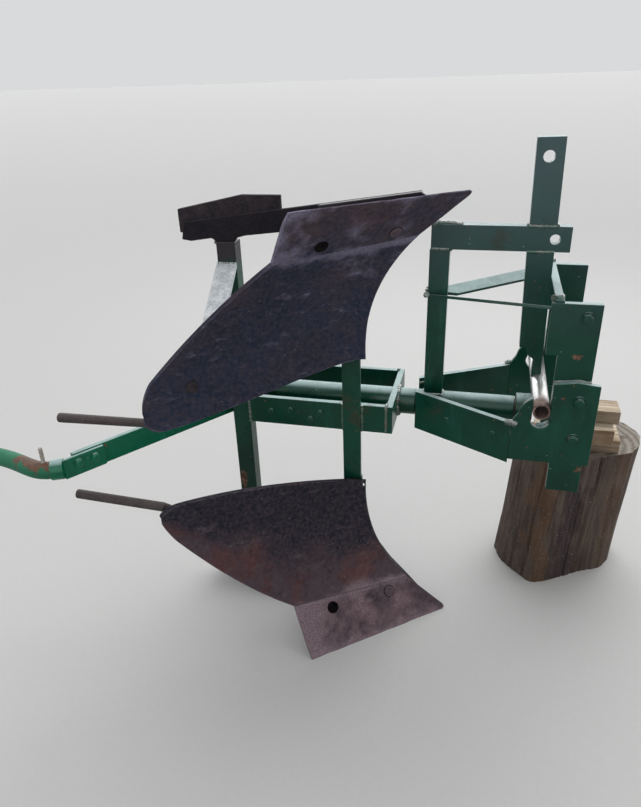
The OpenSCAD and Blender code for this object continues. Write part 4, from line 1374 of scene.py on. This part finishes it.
class PLOUGH_OT_stage(bpy.types.Operator):
    """Sets up the pale floor, the soft light and the camera"""
    bl_idname = "plough.stage"
    bl_label = "Set Up Stage"

    def execute(self, context):
        look = context.scene.plough_stage
        scene = context.scene
        scene.view_settings.view_transform = "Standard"
        corners = [(x * FLOOR_HALF, y * FLOOR_HALF, 0) for x, y in ((-1, -1), (1, -1), (1, 1), (-1, 1))]
        floor = mesh_object("floor", corners, [(0, 1, 2, 3)])
        coat = Coat("floor_pale")
        coat.start(coat.noise(90.0, 3.0).ramp(0.3, 0.7), tinted(look.floor, 0.98), look.floor)
        feed(coat.tree, coat.colour, coat.shader.inputs["Base Color"])
        feed(coat.tree, 0.9, coat.shader.inputs["Roughness"])
        floor.data.materials.append(coat.made)
        world = bpy.data.worlds.new("studio")
        world.use_nodes = True
        scene.world = world
        tree = world.node_tree
        back = tree.nodes["Background"]
        path = tree.nodes.new("ShaderNodeLightPath")
        seen = calc(tree, "MAXIMUM", path.outputs["Is Camera Ray"], path.outputs["Is Transmission Ray"])
        shine = calc(tree, "MULTIPLY", path.outputs["Is Glossy Ray"], look.shine)
        feed(tree, WORLD_COLOUR, back.inputs["Color"])
        feed(tree, look.ambient + seen * (look.backdrop - look.ambient) + shine, back.inputs["Strength"])
        sun = bpy.data.lights.new("sky", "SUN")
        sun.energy = look.sky
        sun.angle = math.radians(70)
        linked("sky", sun).rotation_euler = Vector((-0.25, -0.75, -1)).to_track_quat("-Z", "Y").to_euler()
        lamp("key", (2.6, 1.4), look.key_watts, (0.5, 2.0, 2.6), (0, 0, 0.5))
        lamp("fill", (2.4, 1.6), look.key_watts * 0.5, (-0.6, -3.0, 2.2), (0, 0, 0.4))
        data = bpy.data.cameras.new("view")
        data.sensor_fit = "VERTICAL"
        data.sensor_height = SENSOR
        data.lens = FOCAL * SENSOR / PICTURE_HEIGHT
        scene.camera = linked("view", data)
        scene.camera.matrix_world = camera_matrix()
        return {"FINISHED"}


class PLOUGH_PT_panel(bpy.types.Panel):
    """Lists the steps that dress the plough"""
    bl_idname = "PLOUGH_PT_panel"
    bl_label = "Plough"
    bl_space_type = "VIEW_3D"
    bl_region_type = "UI"
    bl_category = "Plough"

    def draw(self, context):
        for name, _ in LOOKS:
            look = getattr(context.scene, name)
            for key in look.__annotations__:
                self.layout.prop(look, key)
        for step in OPERATORS:
            self.layout.operator(step.bl_idname)


OPERATORS = (PLOUGH_OT_stage, PLOUGH_OT_materials, PLOUGH_OT_frame_paint, PLOUGH_OT_bodies,
             PLOUGH_OT_tail_rods, PLOUGH_OT_lever, PLOUGH_OT_welds, PLOUGH_OT_bolts, PLOUGH_OT_stump,
             PLOUGH_OT_blocks)
LOOKS = (("plough_paint", PaintLook), ("plough_body", BodyLook), ("plough_join", JoinLook),
         ("plough_stump", StumpLook), ("plough_stage", StageLook))


def register():
    for _, look in LOOKS:
        bpy.utils.register_class(look)
    for step in OPERATORS:
        bpy.utils.register_class(step)
    bpy.utils.register_class(PLOUGH_PT_panel)
    for name, look in LOOKS:
        setattr(bpy.types.Scene, name, bpy.props.PointerProperty(type=look))


def unregister():
    for name, _ in LOOKS:
        delattr(bpy.types.Scene, name)
    bpy.utils.unregister_class(PLOUGH_PT_panel)
    for step in reversed(OPERATORS):
        bpy.utils.unregister_class(step)
    for _, look in reversed(LOOKS):
        bpy.utils.unregister_class(look)


def main():
    register()
    bpy.ops.plough.stage()
    bpy.ops.plough.materials()
    bpy.ops.plough.frame_paint()
    bpy.ops.plough.bodies()
    bpy.ops.plough.tail_rods()
    bpy.ops.plough.lever()
    bpy.ops.plough.welds()
    bpy.ops.plough.bolts()
    bpy.ops.plough.stump()
    bpy.ops.plough.blocks()


if __name__ == "__main__":
    main()
